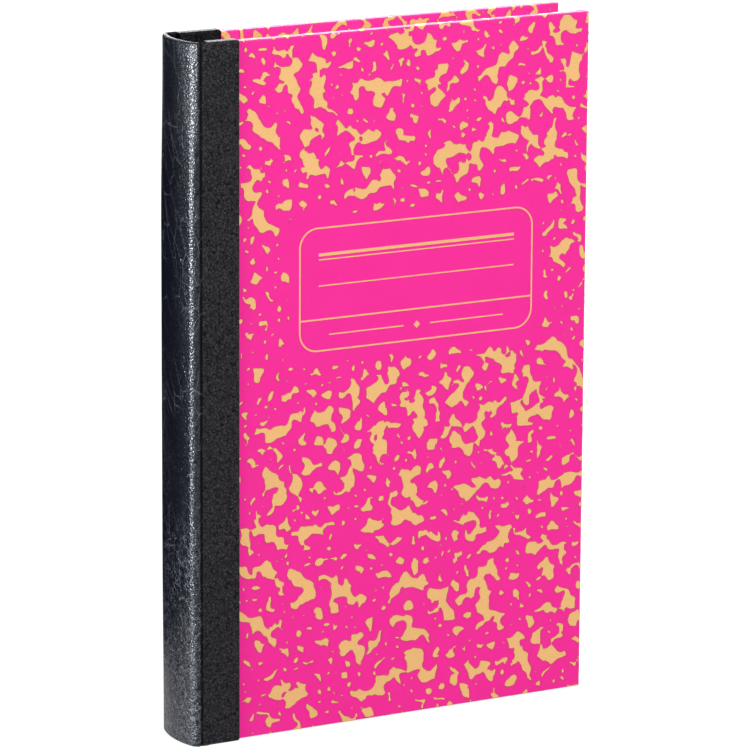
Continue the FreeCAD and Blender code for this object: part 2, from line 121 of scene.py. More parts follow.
# %% Camera
scene = bpy.context.scene
scene.view_settings.view_transform = "Standard"
CAMERA_AZIMUTH = math.radians(-29.0)
CAMERA_ELEVATION = math.radians(13.26)
CAMERA_ROLL = math.radians(0.32)
CAMERA_DISTANCE = 1.536
FOCAL_PIXELS = 5202.0
PICTURE_PIXELS = 750.0
SENSOR = 36.0
AIM = place("front", 57.56 * MM, 0.0, 106.3 * MM)


def add_camera():
    toward = Vector((
        math.sin(CAMERA_AZIMUTH) * math.cos(CAMERA_ELEVATION),
        -math.cos(CAMERA_AZIMUTH) * math.cos(CAMERA_ELEVATION),
        math.sin(CAMERA_ELEVATION),
    ))
    level = Vector((math.cos(CAMERA_AZIMUTH), math.sin(CAMERA_AZIMUTH), 0.0))
    upright = toward.cross(level)
    right = level * math.cos(CAMERA_ROLL) + upright * math.sin(CAMERA_ROLL)
    above = toward.cross(right)
    data = bpy.data.cameras.new("camera")
    data.sensor_width = SENSOR
    data.lens = FOCAL_PIXELS / PICTURE_PIXELS * SENSOR
    data.clip_end = 20.0
    camera = bpy.data.objects.new("camera", data)
    scene.collection.objects.link(camera)
    turn = Matrix((right, above, toward)).transposed().to_4x4()
    camera.matrix_world = Matrix.Translation(AIM + toward * CAMERA_DISTANCE) @ turn
    scene.camera = camera
    return camera


camera = add_camera()
print("lens", round(camera.data.lens, 1), "mm")

# %% [markdown]
# Node trees are built in code. One helper makes a material and hands back its nodes and links,
# another makes a node group with named inputs and outputs. A third sets a socket to a plain value
# or links it, whichever is given.

# %% Node helpers
class Tree:
    """A node tree that is being wired."""

    def __init__(self, tree):
        self.tree = tree

    def add(self, kind, settings=None, **inputs):
        """Adds a node. Its inputs are given by name, or as n0, n1 by number."""
        node = self.tree.nodes.new(kind)
        for name, setting in (settings or {}).items():
            setattr(node, name, setting)
        for name, wanted in inputs.items():
            self.feed(node, name.replace("_", " "), wanted)
        return node

    def feed(self, node, name, wanted):
        numbered = name[0] == "n" and name[1:].isdigit()
        socket = node.inputs[int(name[1:]) if numbered else name]
        if isinstance(wanted, bpy.types.NodeSocket):
            self.tree.links.new(wanted, socket)
        else:
            socket.default_value = wanted

    def maths(self, operation, first, second=0.0, clamp=False):
        node = self.add("ShaderNodeMath", {"operation": operation, "use_clamp": clamp}, n0=first, n1=second)
        return node.outputs[0]

    def ramp(self, value, low, high, to_low=0.0, to_high=1.0, smooth=False):
        settings = {"interpolation_type": "SMOOTHSTEP" if smooth else "LINEAR"}
        node = self.add("ShaderNodeMapRange", settings, n0=value, n1=low, n2=high, n3=to_low, n4=to_high)
        return node.outputs["Result"]

    def mix(self, factor, first, second):
        node = self.add("ShaderNodeMix", {"data_type": "RGBA"}, n0=factor, n6=first, n7=second)
        return node.outputs[2]

    def noise(self, place, scale, detail=2.0, roughness=0.5):
        return self.add("ShaderNodeTexNoise", Vector=place, Scale=scale, Detail=detail, Roughness=roughness)

    def voronoi(self, place, scale, feature="F1"):
        return self.add("ShaderNodeTexVoronoi", {"feature": feature}, Vector=place, Scale=scale)

    def bump(self, height, distance, strength=1.0):
        node = self.add("ShaderNodeBump", Height=height, Distance=distance, Strength=strength)
        return node.outputs["Normal"]


def new_group(name, inputs, outputs):
    """An empty node group. Sockets are given as name: (kind, default)."""
    group = bpy.data.node_groups.new(name, "ShaderNodeTree")
    for label, (kind, default) in inputs.items():
        socket = group.interface.new_socket(label, in_out="INPUT", socket_type="NodeSocket" + kind)
        if default is not None:
            socket.default_value = default
    for label, kind in outputs.items():
        group.interface.new_socket(label, in_out="OUTPUT", socket_type="NodeSocket" + kind)
    tree = Tree(group)
    return tree, tree.add("NodeGroupInput").outputs, tree.add("NodeGroupOutput")


def use_group(tree, group, **inputs):
    node = tree.tree.nodes.new("ShaderNodeGroup")
    node.node_tree = group
    for name, wanted in inputs.items():
        tree.feed(node, name.replace("_", " "), wanted)
    return node.outputs


def new_material(name, **settings):
    """A material with one Principled BSDF, whose plain values are set on its own sockets."""
    material = bpy.data.materials.new(name)
    material.use_nodes = True
    shader = material.node_tree.nodes["Principled BSDF"]
    for socket, setting in settings.items():
        shader.inputs[socket.replace("_", " ")].default_value = setting
    return material, Tree(material.node_tree), shader


def object_place(tree):
    return tree.add("ShaderNodeTexCoord").outputs["Object"]


# %% [markdown]
# Pebbled leather is pressed with a plate of small rounded islands, split by narrow creases. A
# Voronoi texture's distance to the cell edge gives both: it is high in the middle of a cell and
# falls to nothing in the crease. The cells' coordinates are pushed about by noise first, since the
# real islands are uneven. Larger cells come through in places, and long fine wrinkles lean across
# the grain, where the skin was pulled over the spine.

# %% Leather grain group
WARP = 0.7 * MM
CRACKS = 260.0
CRACK_LEAN = (-0.42, 0.35, 0.0)
CRACK_STRETCH = (1.0, 1.0, 6.0)


def make_leather_grain():
    tree, given, result = new_group(
        "leather_grain",
        {"Place": ("Vector", None), "Cells": ("Float", 1000.0), "Coarseness": ("Float", 0.0)},
        {"Height": "Float", "Crease": "Float", "Wrinkle": "Float", "Speck": "Float"},
    )
    push = tree.noise(given["Place"], 600.0, 3.0).outputs["Color"]
    centred = tree.add("ShaderNodeVectorMath", {"operation": "SUBTRACT"}, n0=push, n1=(0.5, 0.5, 0.5))
    scaled = tree.add("ShaderNodeVectorMath", {"operation": "SCALE"}, n0=centred.outputs[0], Scale=WARP)
    moved = tree.add("ShaderNodeVectorMath", {"operation": "ADD"}, n0=given["Place"], n1=scaled.outputs[0])
    warped = moved.outputs[0]

    def edges(fineness):
        """The distance to the nearest edge, in cells that many times finer than the main ones."""
        scale = tree.maths("MULTIPLY", given["Cells"], fineness)
        return tree.voronoi(warped, scale, "DISTANCE_TO_EDGE").outputs["Distance"]

    def patches(scale, detail, low, high):
        """A mask that comes and goes over the skin."""
        return tree.ramp(tree.noise(given["Place"], scale, detail).outputs["Fac"], low, high, smooth=True)

    large, middle, small, net = edges(0.42), edges(1.0), edges(2.2), edges(0.70)
    coarse = tree.maths("MULTIPLY", patches(45.0, 2.0, 0.42, 0.62), 0.5)
    coarse = tree.maths("ADD", coarse, given["Coarseness"], clamp=True)

    # Wrinkles are long cracks that lean, and a broken web where the grain is coarse.
    pulled = tree.add("ShaderNodeMapping", {"vector_type": "TEXTURE"}, n0=warped, n2=CRACK_LEAN,
                      n3=CRACK_STRETCH).outputs[0]
    crack = tree.voronoi(pulled, CRACKS, "DISTANCE_TO_EDGE").outputs["Distance"]
    crack = tree.ramp(crack, 0.0, 0.028, 0.42, 0.0, smooth=True)
    wrinkle = tree.maths("MULTIPLY", crack, patches(70.0, 3.0, 0.42, 0.56))
    web = tree.ramp(net, 0.0, 0.07, 1.0, 0.0, smooth=True)
    web = tree.maths("MULTIPLY", web, patches(420.0, 2.0, 0.36, 0.58))
    web = tree.maths("MULTIPLY", web, tree.maths("MULTIPLY", coarse, coarse))
    wrinkle = tree.maths("MAXIMUM", wrinkle, tree.maths("MULTIPLY", web, 0.7))
    tree.feed(result, "Wrinkle", wrinkle)

    # The height adds islands, small pebbles on them and large plates where the grain is coarse.
    island = tree.ramp(middle, 0.0, 0.26, smooth=True)
    pebble = tree.ramp(small, 0.0, 0.30, smooth=True)
    plate = tree.ramp(large, 0.0, 0.16, smooth=True)
    height = tree.maths("ADD", tree.maths("MULTIPLY", island, 0.50), tree.maths("MULTIPLY", pebble, 0.16))
    deep = tree.maths("MULTIPLY", tree.maths("MULTIPLY", plate, coarse), 0.60)
    height = tree.maths("ADD", height, deep)
    height = tree.maths("SUBTRACT", height, tree.maths("MULTIPLY", wrinkle, 0.55))
    tree.feed(result, "Height", height)

    # The creases, and a shade of its own for each small pebble
    wide = tree.ramp(middle, 0.0, 0.15, 1.0, 0.0, smooth=True)
    fine = tree.ramp(small, 0.0, 0.22, 0.6, 0.0, smooth=True)
    tree.feed(result, "Crease", tree.maths("MAXIMUM", wide, fine))
    bits = tree.voronoi(warped, tree.maths("MULTIPLY", given["Cells"], 2.1))
    shade = tree.add("ShaderNodeSeparateXYZ", n0=bits.outputs["Color"]).outputs["X"]
    tree.feed(result, "Speck", tree.ramp(shade, 0.30, 0.90))
    return tree.tree


leather_grain = make_leather_grain()
print(leather_grain.name, "has", len(leather_grain.nodes), "nodes")

# %% [markdown]
# Every sheet of paper and card has a fine felted surface. One group gives it, with the size of the
# fibres as an input, and each paper uses it at its own strength.

# %% Paper tooth group
def make_paper_tooth():
    tree, given, result = new_group(
        "paper_tooth",
        {"Place": ("Vector", None), "Fibres": ("Float", 2500.0)},
        {"Height": "Float", "Cloud": "Float"},
    )
    fibres = tree.noise(given["Place"], given["Fibres"], 4.0, 0.7).outputs["Fac"]
    tree.feed(result, "Height", fibres)
    tree.feed(result, "Cloud", tree.noise(given["Place"], 90.0, 3.0).outputs["Fac"])
    return tree.tree


paper_tooth = make_paper_tooth()
print(paper_tooth.name, "has", len(paper_tooth.nodes), "nodes")

# %% [markdown]
# The leather is nearly black with a blue cast. On the spine the colour is painted darker and bluer,
# as painted shade and painted cool light from the left. The creases and the joint are painted
# darker as shade, and so are the turned-in inner faces; the edges of the wrinkles are painted pale
# as a highlight. The creases are also duller than the tops of the islands, which handling and
# pressing have made smooth. The pattern follows an attribute with each point's place on the closed
# book, so that it stays on the leather when a cover opens. The spine is polished by hands, except
# near head and tail, where it stays a little duller.

# %% Leather material
REST_PLACE = "rest_place"
PEBBLES = 950.0
PEBBLE_DEPTH = 0.09 * MM
STRIP_TOPS = (0.0075, 0.0066, 0.0098, 1.0), (0.043, 0.039, 0.048, 1.0)
# Painted shade and cool light: the spine's tops are darker and bluer than the strips'
SPINE_TOPS_SHADED = (0.0012, 0.0022, 0.0090, 1.0), (0.0042, 0.0068, 0.0200, 1.0)
# Painted shade on the turned-in inner faces of the rim
TURN_IN_SHADE = (0.0020, 0.0020, 0.0032, 1.0)
# Painted shade in the grain's creases and in the joint
CREASE_SHADE = (0.0008, 0.0009, 0.0020, 1.0)
# Painted highlight: the wrinkles' edges catching light, brighter on the spine
WRINKLE_GLINT_STRIP = (0.035, 0.034, 0.042, 1.0)
WRINKLE_GLINT_SPINE = (0.250, 0.262, 0.300, 1.0)
STRIP_SHINE, SPINE_SHINE = 0.24, 0.65
TOP_ROUGHNESS, CREASE_ROUGHNESS = 0.22, 0.42
TAIL_DULL = 0.10
HEAD_DULL = 0.4 * TAIL_DULL


def make_leather():
    material, tree, shader = new_material("leather", IOR=1.5)
    spot = tree.add("ShaderNodeAttribute", {"attribute_name": REST_PLACE}).outputs["Vector"]
    parts = tree.add("ShaderNodeSeparateXYZ", n0=spot).outputs
    on_spine = tree.ramp(parts["X"], CREASE_X - 1.5 * MM, CREASE_X + 1.5 * MM, 1.0, 0.0, smooth=True)
    near_tail = tree.ramp(parts["Z"], 20.0 * MM, 110.0 * MM, 1.0, 0.0, smooth=True)
    coarse = tree.maths("MULTIPLY", on_spine, near_tail)
    grain = use_group(tree, leather_grain, Place=spot, Cells=PEBBLES, Coarseness=coarse)

    # The tops of the islands: greyer on the strips, painted darker and bluer on the spine as shade and
    # cool light, and painted darker where turned in, as shade
    flat = tree.mix(grain["Speck"], *STRIP_TOPS)
    # Painted shade and cool light on the spine
    spine_shaded = tree.mix(grain["Speck"], *SPINE_TOPS_SHADED)
    tops = tree.mix(on_spine, flat, spine_shaded)
    # Painted shade: darker where the leather is turned in, away from its outer face
    depth_in = tree.maths("SUBTRACT", HALF_DEPTH, tree.maths("ABSOLUTE", parts["Y"]))
    inside = tree.maths("MULTIPLY", tree.ramp(depth_in, 0.7 * MM, 1.8 * MM, smooth=True),
                        tree.maths("SUBTRACT", 1.0, on_spine))
    tops = tree.mix(inside, tops, TURN_IN_SHADE)

    # The joint and the creases are painted darker as shade, and the edges of the wrinkles are painted
    # pale as a highlight.
    off_joint = tree.maths("ABSOLUTE", tree.maths("SUBTRACT", parts["X"], CREASE_X))
    joint = tree.ramp(off_joint, 0.3 * MM, 0.9 * MM, 1.0, 0.0, smooth=True)
    low = tree.maths("MAXIMUM", grain["Crease"], joint)
    colour = tree.mix(low, tops, CREASE_SHADE)
    # Painted highlight on the edges of the wrinkles
    glint_colour = tree.mix(on_spine, WRINKLE_GLINT_STRIP, WRINKLE_GLINT_SPINE)
    with_glints = tree.mix(tree.maths("MULTIPLY", grain["Wrinkle"], 0.75), colour, glint_colour)
    tree.feed(shader, "Base Color", with_glints)

    # Polish: most on the spine's islands, least in creases and joint
    polish = tree.ramp(on_spine, 0.0, 1.0, STRIP_SHINE, SPINE_SHINE)
    polish = tree.maths("MULTIPLY", polish, tree.ramp(inside, 0.0, 1.0, 1.0, 0.5))
    gloss = tree.maths("MULTIPLY", polish, tree.ramp(low, 0.0, 1.0, 1.0, 0.15))
    tree.feed(shader, "Specular IOR Level", gloss)
    head_dull = tree.ramp(parts["Z"], HEIGHT - 45.0 * MM, HEIGHT - 10.0 * MM, 0.0, HEAD_DULL, smooth=True)
    tail_dull = tree.ramp(parts["Z"], 10.0 * MM, 60.0 * MM, TAIL_DULL, 0.0, smooth=True)
    dull = tree.maths("MULTIPLY", tree.maths("ADD", head_dull, tail_dull), on_spine)
    rough = tree.ramp(low, 0.0, 1.0, TOP_ROUGHNESS, CREASE_ROUGHNESS)
    tree.feed(shader, "Roughness", tree.maths("ADD", rough, dull))
    tree.feed(shader, "Normal", tree.bump(grain["Height"], PEBBLE_DEPTH))
    return material


leather = make_leather()
print(leather.name, "has", len(leather.node_tree.nodes), "nodes")

# %% [markdown]
# The leather of the book is one skin. It covers the spine, dips into each joint, runs a little way
# over each board and is turned over the edges at head and tail. It is modelled as two halves that
# meet in the middle of the spine, because each half has to bend at its own joint.
#
# A half starts as one vertex, which is extruded into a long C: down the inside, over the tail, up
# the outer face, over the head and down the inside again. That line is then swept across the
# cover by extrusion, through the joint, and round the shoulder and the arch by spin.

# %% Editing helpers
SHARP_FROM = math.radians(50.0)


def use_only(piece):
    """Selects one piece and makes it the active one."""
    bpy.ops.object.select_all(action="DESELECT")
    piece.select_set(True)
    bpy.context.view_layer.objects.active = piece


def edit_all(piece):
    """Opens a piece in edit mode with all of it selected."""
    use_only(piece)
    bpy.ops.object.mode_set(mode="EDIT")
    bpy.ops.mesh.select_all(action="SELECT")


def edit_new_mesh(name):
    """Opens a new mesh in edit mode, as a plane merged to one vertex at the origin."""
    bpy.ops.object.select_all(action="DESELECT")
    bpy.ops.mesh.primitive_plane_add(size=0.01)
    piece = bpy.context.object
    piece.name = name
    piece.data.name = name
    bpy.ops.object.mode_set(mode="EDIT")
    bpy.ops.mesh.select_all(action="SELECT")
    bpy.ops.mesh.merge(type="CENTER")
    return piece


def extrude_by(move):
    bpy.ops.mesh.extrude_region_move(TRANSFORM_OT_translate={"value": tuple(move)})


def leave_edit_mode():
    bpy.ops.object.mode_set(mode="OBJECT")
    return bpy.context.object


def add_modifier(piece, kind, **settings):
    """Adds a modifier, sets it and applies it."""
    use_only(piece)
    modifier = piece.modifiers.new(kind.lower(), kind)
    for name, setting in settings.items():
        setattr(modifier, name, setting)
    bpy.ops.object.modifier_apply(modifier=modifier.name)


def smooth_by_angle(piece):
    """Shades a piece smooth, but for edges sharper than the limit."""
    use_only(piece)
    bpy.ops.object.shade_smooth_by_angle(angle=SHARP_FROM)


def count_triangles(piece):
    return sum(len(polygon.vertices) - 2 for polygon in piece.data.polygons)


# %% Leather outline in height and depth
TURN_IN = 15.0 * MM
RIM_ROUND = 0.8 * MM
ROUND_STEPS = 4
FACE_STEPS = 42


def leather_line(depth):
    """The C that is swept: (depth, height) points from the tail's turned-in edge to the head's."""
    points = [(depth, TURN_IN), (depth, RIM_ROUND)]
    for centre_depth, start in ((depth - RIM_ROUND, 0.0), (RIM_ROUND, -90.0)):
        for step in range(1, ROUND_STEPS + 1):
            angle = math.radians(start - 90.0 * step / ROUND_STEPS)
            deep = centre_depth + RIM_ROUND * math.cos(angle)
            points.append((deep, RIM_ROUND + RIM_ROUND * math.sin(angle)))
    lower = len(points)
    for step in range(1, FACE_STEPS):
        points.append((0.0, RIM_ROUND + (HEIGHT - 2 * RIM_ROUND) * step / FACE_STEPS))
    points += [(deep, HEIGHT - up) for deep, up in reversed(points[:lower])]
    return points


print("leather line has", len(leather_line(COVER_DEPTH)), "points")

# %% Sizes of the spine and the joint
SHOULDER = 2.8 * MM
SHOULDER_FLAT = 0.3 * MM
SPINE_SKIN = 1.9 * MM
JOINT_SKIN = 1.2 * MM
CREASE_DIP = 0.42 * MM
CREASE_WIDE = 0.55 * MM
BOARD_STEP = 1.3 * MM
DOWN_STEP = 0.05 * MM
JOINT_STEPS = 14
SPIN_STEPS = 9
EDGE_STEPS = ((0.00, 0.60), (0.05, 0.34), (0.17, 0.14), (0.36, 0.03), (0.60, 0.0))


def spine_arch():
    """Radius of the spine's shallow arch and the angle that half of it turns through."""
    bulge = CREASE_X - SPINE_BACK
    drop = HALF_DEPTH - SHOULDER
    reach = bulge - SHOULDER_FLAT
    radius = (drop ** 2 + reach ** 2 - SHOULDER ** 2) / (2 * (reach - SHOULDER))
    return radius, math.asin(drop / (radius - SHOULDER))


def deepen(side, inner_depth, line_depth):
    """Moves the turned-in side of the newest line to another depth."""
    mesh = bmesh.from_edit_mesh(bpy.context.object.data)
    for vertex in mesh.verts:
        if vertex.select:
            depth = HALF_DEPTH - OUTWARD[side] * vertex.co.y
            share = min(max((depth - line_depth * 0.3) / (line_depth * 0.4), 0.0), 1.0)
            vertex.co.y -= OUTWARD[side] * share * inner_depth
    bmesh.update_edit_mesh(bpy.context.object.data)


print("spine arch: radius", round(spine_arch()[0], 4), "m, half turn", round(spine_arch()[1], 3))

# %% Sweep one half of the leather
def sweep_leather(side):
    """Sweeps the C from the strip's free edge to the middle of the spine."""
    piece = edit_new_mesh(side + "_leather_skin")
    outward = OUTWARD[side]
    line = leather_line(COVER_DEPTH)
    start = place(side, STRIP[side], line[0][0], line[0][1])
    bpy.ops.transform.translate(value=start)
    for (deep, up), (next_deep, next_up) in zip(line, line[1:]):
        extrude_by((0.0, -outward * (next_deep - deep), next_up - up))
    bpy.ops.mesh.select_all(action="SELECT")

    # The free edge is rounded: the first lines are drawn in towards the board.
    middle = place(side, STRIP[side], COVER_DEPTH / 2, HEIGHT / 2)

    def draw_in(inset, last):
        flat = (COVER_DEPTH - 2 * inset) / (COVER_DEPTH - 2 * last)
        tall = (HEIGHT - 2 * inset) / (HEIGHT - 2 * last)
        bpy.ops.transform.resize(value=(1.0, flat, tall), center_override=middle)

    last_inset = 0.0
    last_across = 0.0
    for across, inset in EDGE_STEPS:
        if across > 0.0:
            extrude_by((-(across - last_across) * MM, 0.0, 0.0))
        draw_in(inset * MM, last_inset)
        last_inset = inset * MM
        last_across = across

    # Over the board
    covered = STRIP[side] - last_across * MM - BOARD_START
    board_steps = max(4, round(covered / BOARD_STEP))
    for _ in range(board_steps):
        extrude_by((-covered / board_steps, 0.0, 0.0))

    # Down the board's edge and through the joint, dipping into the crease
    extrude_by((-DOWN_STEP, 0.0, 0.0))
    deepen(side, JOINT_SKIN - COVER_DEPTH, COVER_DEPTH)
    start_x = BOARD_START - DOWN_STEP
    end_x = -SHOULDER_FLAT
    dip = 0.0
    for step in range(1, JOINT_STEPS + 1):
        across = start_x + (end_x - start_x) * step / JOINT_STEPS
        wanted = CREASE_DIP * math.exp(-((across / CREASE_WIDE) ** 2)) if step < JOINT_STEPS else 0.0
        extrude_by(((end_x - start_x) / JOINT_STEPS, -outward * (wanted - dip), 0.0))
        dip = wanted
    deepen(side, SPINE_SKIN - JOINT_SKIN, JOINT_SKIN)

    # Round the shoulder and half of the arch
    radius, half_turn = spine_arch()
    shoulder_centre = place(side, -SHOULDER_FLAT, SHOULDER, 0.0)
    bpy.ops.mesh.spin(steps=SPIN_STEPS, angle=-outward * (math.pi / 2 - half_turn),
                      center=shoulder_centre, axis=(0.0, 0.0, 1.0))
    arch_centre = Vector((SPINE_BACK + radius, 0.0, 0.0))
    bpy.ops.mesh.spin(steps=SPIN_STEPS, angle=-outward * half_turn, center=arch_centre, axis=(0.0, 0.0, 1.0))
    return leave_edit_mode()


skins = {side: sweep_leather(side) for side in ("front", "back")}
print("skins:", [len(skin.data.vertices) for skin in skins.values()], "vertices")

# %% [markdown]
# On the real book the spine bulges more at the head than in the middle, and a little more at the
# tail. The swept skin is the same all the way up, so its points near the ends are drawn forward,
# more the further they are from the middle of the spine.

# %% Round the ends of the spine
HEAD_ROUND = 0.9 * MM
TAIL_SHARE = 0.35


def smooth_step(low, high, value):
    share = min(max((value - low) / (high - low), 0.0), 1.0)
    return share * share * (3 - 2 * share)


def round_ends(piece):
    """Draws the sides of the spine forward near the head and, less so, near the tail."""
    for vertex in piece.data.vertices:
        past_crease = smooth_step(0.3 * MM, 2.5 * MM, CREASE_X - vertex.co.x)
        near_head = smooth_step(HEIGHT - 55.0 * MM, HEIGHT - 4.0 * MM, vertex.co.z)
        near_tail = smooth_step(-60.0 * MM, -4.0 * MM, -vertex.co.z)
        near_end = max(near_head, TAIL_SHARE * near_tail)
        vertex.co.x += HEAD_ROUND * (vertex.co.y / HALF_DEPTH) ** 2 * past_crease * near_end


for skin in skins.values():
    round_ends(skin)
for skin in skins.values():
    low, high = (tuple(pick(v.co[i] for v in skin.data.vertices) for i in range(3)) for pick in (min, max))
    print(skin.name, "from", [round(c, 5) for c in low], "to", [round(c, 5) for c in high])

# %% [markdown]
# The swept skins are open sheets. They get their thickness inwards, so that the outer face stays
# where it was drawn. Each point's place on the closed book is kept in an attribute, which the
# leather's pattern reads.

# %% Finish the leather
def keep_rest_place(piece):
    attribute = piece.data.attributes.new(REST_PLACE, "FLOAT_VECTOR", "POINT")
    places = np.empty(len(piece.data.vertices) * 3, dtype=np.float32)
    piece.data.vertices.foreach_get("co", places)
    attribute.data.foreach_set("vector", places)


def face_outwards(piece):
    edit_all(piece)
    bpy.ops.mesh.remove_doubles(threshold=0.001 * MM)
    bpy.ops.mesh.normals_make_consistent(inside=False)
    leave_edit_mode()


FACING = 0.9


def settle_normals(piece, side):
    """Turns the sheet's faces so that the widest ones look away from the book."""
    mesh = piece.data
    outer_face = HALF_DEPTH - 0.5 * MM
    outer = [p for p in mesh.polygons if abs(p.normal.y) > FACING and abs(p.center.y) > outer_face]
    facing = sum(p.normal.y * p.area for p in outer) * OUTWARD[side]
    if facing < 0:
        mesh.flip_normals()


LEATHER_THICK = 0.5 * MM
for side, skin in skins.items():
    face_outwards(skin)
    settle_normals(skin, side)
    add_modifier(skin, "SOLIDIFY", thickness=LEATHER_THICK, offset=-1.0, use_even_offset=False)
    smooth_by_angle(skin)
    keep_rest_place(skin)
    skin.data.materials.clear()
    skin.data.materials.append(leather)
    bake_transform(skin)
    print(skin.name, count_triangles(skin), "triangles")

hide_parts("front_cover_leather", "spine_leather")
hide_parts("back_cover_leather")

# %% [markdown]
# The marbling is gold foil on the pink paper. Its flecks are the CAD's own, which are plain
# polygons there. Here each one becomes an organic shape: a field is worked out over a fine grid on
# the paper, high inside a fleck and low outside it, and noise bends and roughens it. Close flecks
# then grow together, as they do in real marbling. The grid is lifted by the field and cut by a
# level plane, and what stands above the plane is the foil.

# %% Read the CAD's flecks
def read_flecks(side):
    """The outline of each fleck of the frame, as corners (across, up) in order."""
    mesh = bmesh.new()
    mesh.from_mesh(frame["nodes"][side + "_gold_flecks"].data)
    bmesh.ops.remove_doubles(mesh, verts=mesh.verts, dist=0.001 * MM)
    mesh.normal_update()
    top = [face for face in mesh.faces if face.normal.y * OUTWARD[side] > FACING]
    rim = {}
    for face in top:
        for loop in face.loops:
            others = [other for other in loop.edge.link_faces if other is not face]
            if all(other.normal.y * OUTWARD[side] < FACING for other in others):
                rim[loop.vert] = loop.link_loop_next.vert
    flecks = []
    while rim:
        first = vertex = next(iter(rim))
        corners = []
        while vertex in rim:
            corners.append((vertex.co.x - CREASE_X, vertex.co.z))
            vertex = rim.pop(vertex)
        if vertex is first:
            flecks.append(np.array(corners))
    mesh.free()
    return flecks


fleck_outlines = {side: read_flecks(side) for side in ("front", "back")}
print({side: len(outlines) for side, outlines in fleck_outlines.items()}, "flecks")

# %% [markdown]
# The foil was stamped on the sheet before it was wrapped round the board, so the marbling runs
# over the edges and on to the turn-ins. The grid is therefore laid out on the flat sheet. It goes
# past the face at the head, the tail and the fore-edge, and is folded round the board later.

# %% Lay out the sheet
PAPER_ROUND = 0.35 * MM
PAPER_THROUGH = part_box("front_cover_paper")[1].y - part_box("front_cover_paper")[0].y
FACE_RIGHT = FORE_EDGE - CREASE_X - PAPER_ROUND
FACE_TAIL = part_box("front_cover_paper")[0].z + PAPER_ROUND
FACE_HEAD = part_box("front_cover_paper")[1].z - PAPER_ROUND
QUARTER = PAPER_ROUND * math.pi / 2
ROUND_EDGE = 2 * QUARTER + PAPER_THROUGH - 2 * PAPER_ROUND
INSIDE_SHOWN = 3.4 * MM
GRID = 0.5 * MM
LABEL_MARGIN = 3.2 * MM
MITRE_GAP = 0.12 * MM
print("face of the sheet:", [round(v, 4) for v in (FACE_RIGHT, FACE_TAIL, FACE_HEAD)])

# %% [markdown]
# Colour that floats on a bath is drawn about by slow currents. Many plane waves with random
# headings, added up, give such a field at any point without a picture, and the same seed gives
# the same field each time.

# %% Waves and outlines
def make_waves(chance, count, shortest, longest):
    """Plane waves with random headings, lengths and phases."""
    waves = []
    for _ in range(count):
        heading = chance.uniform(0.0, math.pi)
        pace = 2 * math.pi / (shortest * (longest / shortest) ** chance.random())
        waves.append((pace * math.cos(heading), pace * math.sin(heading), chance.uniform(0.0, 2 * math.pi)))
    return waves


def wave_height(waves, across, up):
    """The sum of the waves at each point, with an even spread of about 1."""
    total = sum(np.cos(a * across + b * up + phase) for a, b, phase in waves)
    return total / math.sqrt(len(waves) / 2)


def depth_inside(corners, across, up):
    """How deep each point lies inside an outline. It is negative outside."""
    point = np.stack((across, up), axis=1)
    nearest = np.full(len(point), np.inf)
    inside = np.zeros(len(point), dtype=bool)
    for start, end in zip(corners, np.roll(corners, -1, axis=0)):
        edge = end - start
        away = point - start
        share = np.clip(away @ edge / max(edge @ edge, 1e-18), 0.0, 1.0)
        nearest = np.minimum(nearest, np.hypot(*(away - share[:, None] * edge).T))
        between = (start[1] > up) != (end[1] > up)
        crossing = start[0] + (up - start[1]) / (edge[1] if edge[1] else 1e-18) * edge[0]
        inside ^= between & (across < crossing)
    return np.where(inside, nearest, -nearest)


# %% [markdown]
# The field adds the waves and the frame's flecks. Its points are bent first, by waves again, so
# that no fleck keeps a straight edge. Past the face only the waves count, because the frame has
# no flecks there.

# %% Marbling field
REACH_OUT = 1.5 * MM
FLECK_PULL = 0.95
WAVE_PULL = 0.62
BASE_COVER = 0.27
BEND = 0.4 * MM
FINE_SHARE = 0.42
FLECK_RISE = 0.4
WAVE_SEEDS = {"front": 31, "back": 47}


def nearest_fleck(side, across, up):
    """How deep each point lies inside the nearest of the frame's flecks, down to a limit outside."""
    depth = np.full(len(across), -REACH_OUT)
    for corners in fleck_outlines[side]:
        low, high = corners.min(axis=0) - REACH_OUT, corners.max(axis=0) + REACH_OUT
        near = np.nonzero((across > low[0]) & (across < high[0]) & (up > low[1]) & (up < high[1]))[0]
        depth[near] = np.maximum(depth[near], depth_inside(corners, across[near], up[near]))
    return depth


def past_face(across, up):
    """How far each point lies past the face, across and up."""
    return across - FACE_RIGHT, np.maximum(up - FACE_HEAD, FACE_TAIL - up)


def marbling_field(side, across, up):
    """Height of the field at each sheet point: above nothing inside the marbling."""
    chance = random.Random(WAVE_SEEDS[side])
    push = [make_waves(chance, 12, 4.0 * MM, 7.0 * MM) for _ in range(2)]
    coarse = make_waves(chance, 40, 4.2 * MM, 8.0 * MM)
    fine = make_waves(chance, 40, 2.1 * MM, 3.6 * MM)
    bent_across = across + BEND * wave_height(push[0], across, up)
    bent_up = up + BEND * wave_height(push[1], across, up)
    waves = wave_height(coarse, bent_across, bent_up) + FINE_SHARE * wave_height(fine, bent_across, bent_up)
    flecks = nearest_fleck(side, bent_across, bent_up) / REACH_OUT
    on_face = np.clip(-np.maximum(*past_face(across, up)) / MM, 0.0, 1.0)
    return WAVE_PULL * waves + FLECK_PULL * (flecks + FLECK_RISE) * on_face


def label_clearance(side, across, up):
    """Distance outside the place that is kept clear for the label."""
    if side == "back":
        return np.full(len(across), 1.0)
    low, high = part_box("label_outline")
    beside = np.maximum(low.x - CREASE_X - LABEL_MARGIN - across, across - high.x + CREASE_X - LABEL_MARGIN)
    above = np.maximum(low.z - LABEL_MARGIN - up, up - high.z - LABEL_MARGIN)
    return np.maximum(beside, above)


# %% [markdown]
# Between the large flecks lie small drops of the same colour. Each is a small angular outline,
# tried at a random place and kept where it stands clear of what is there already.

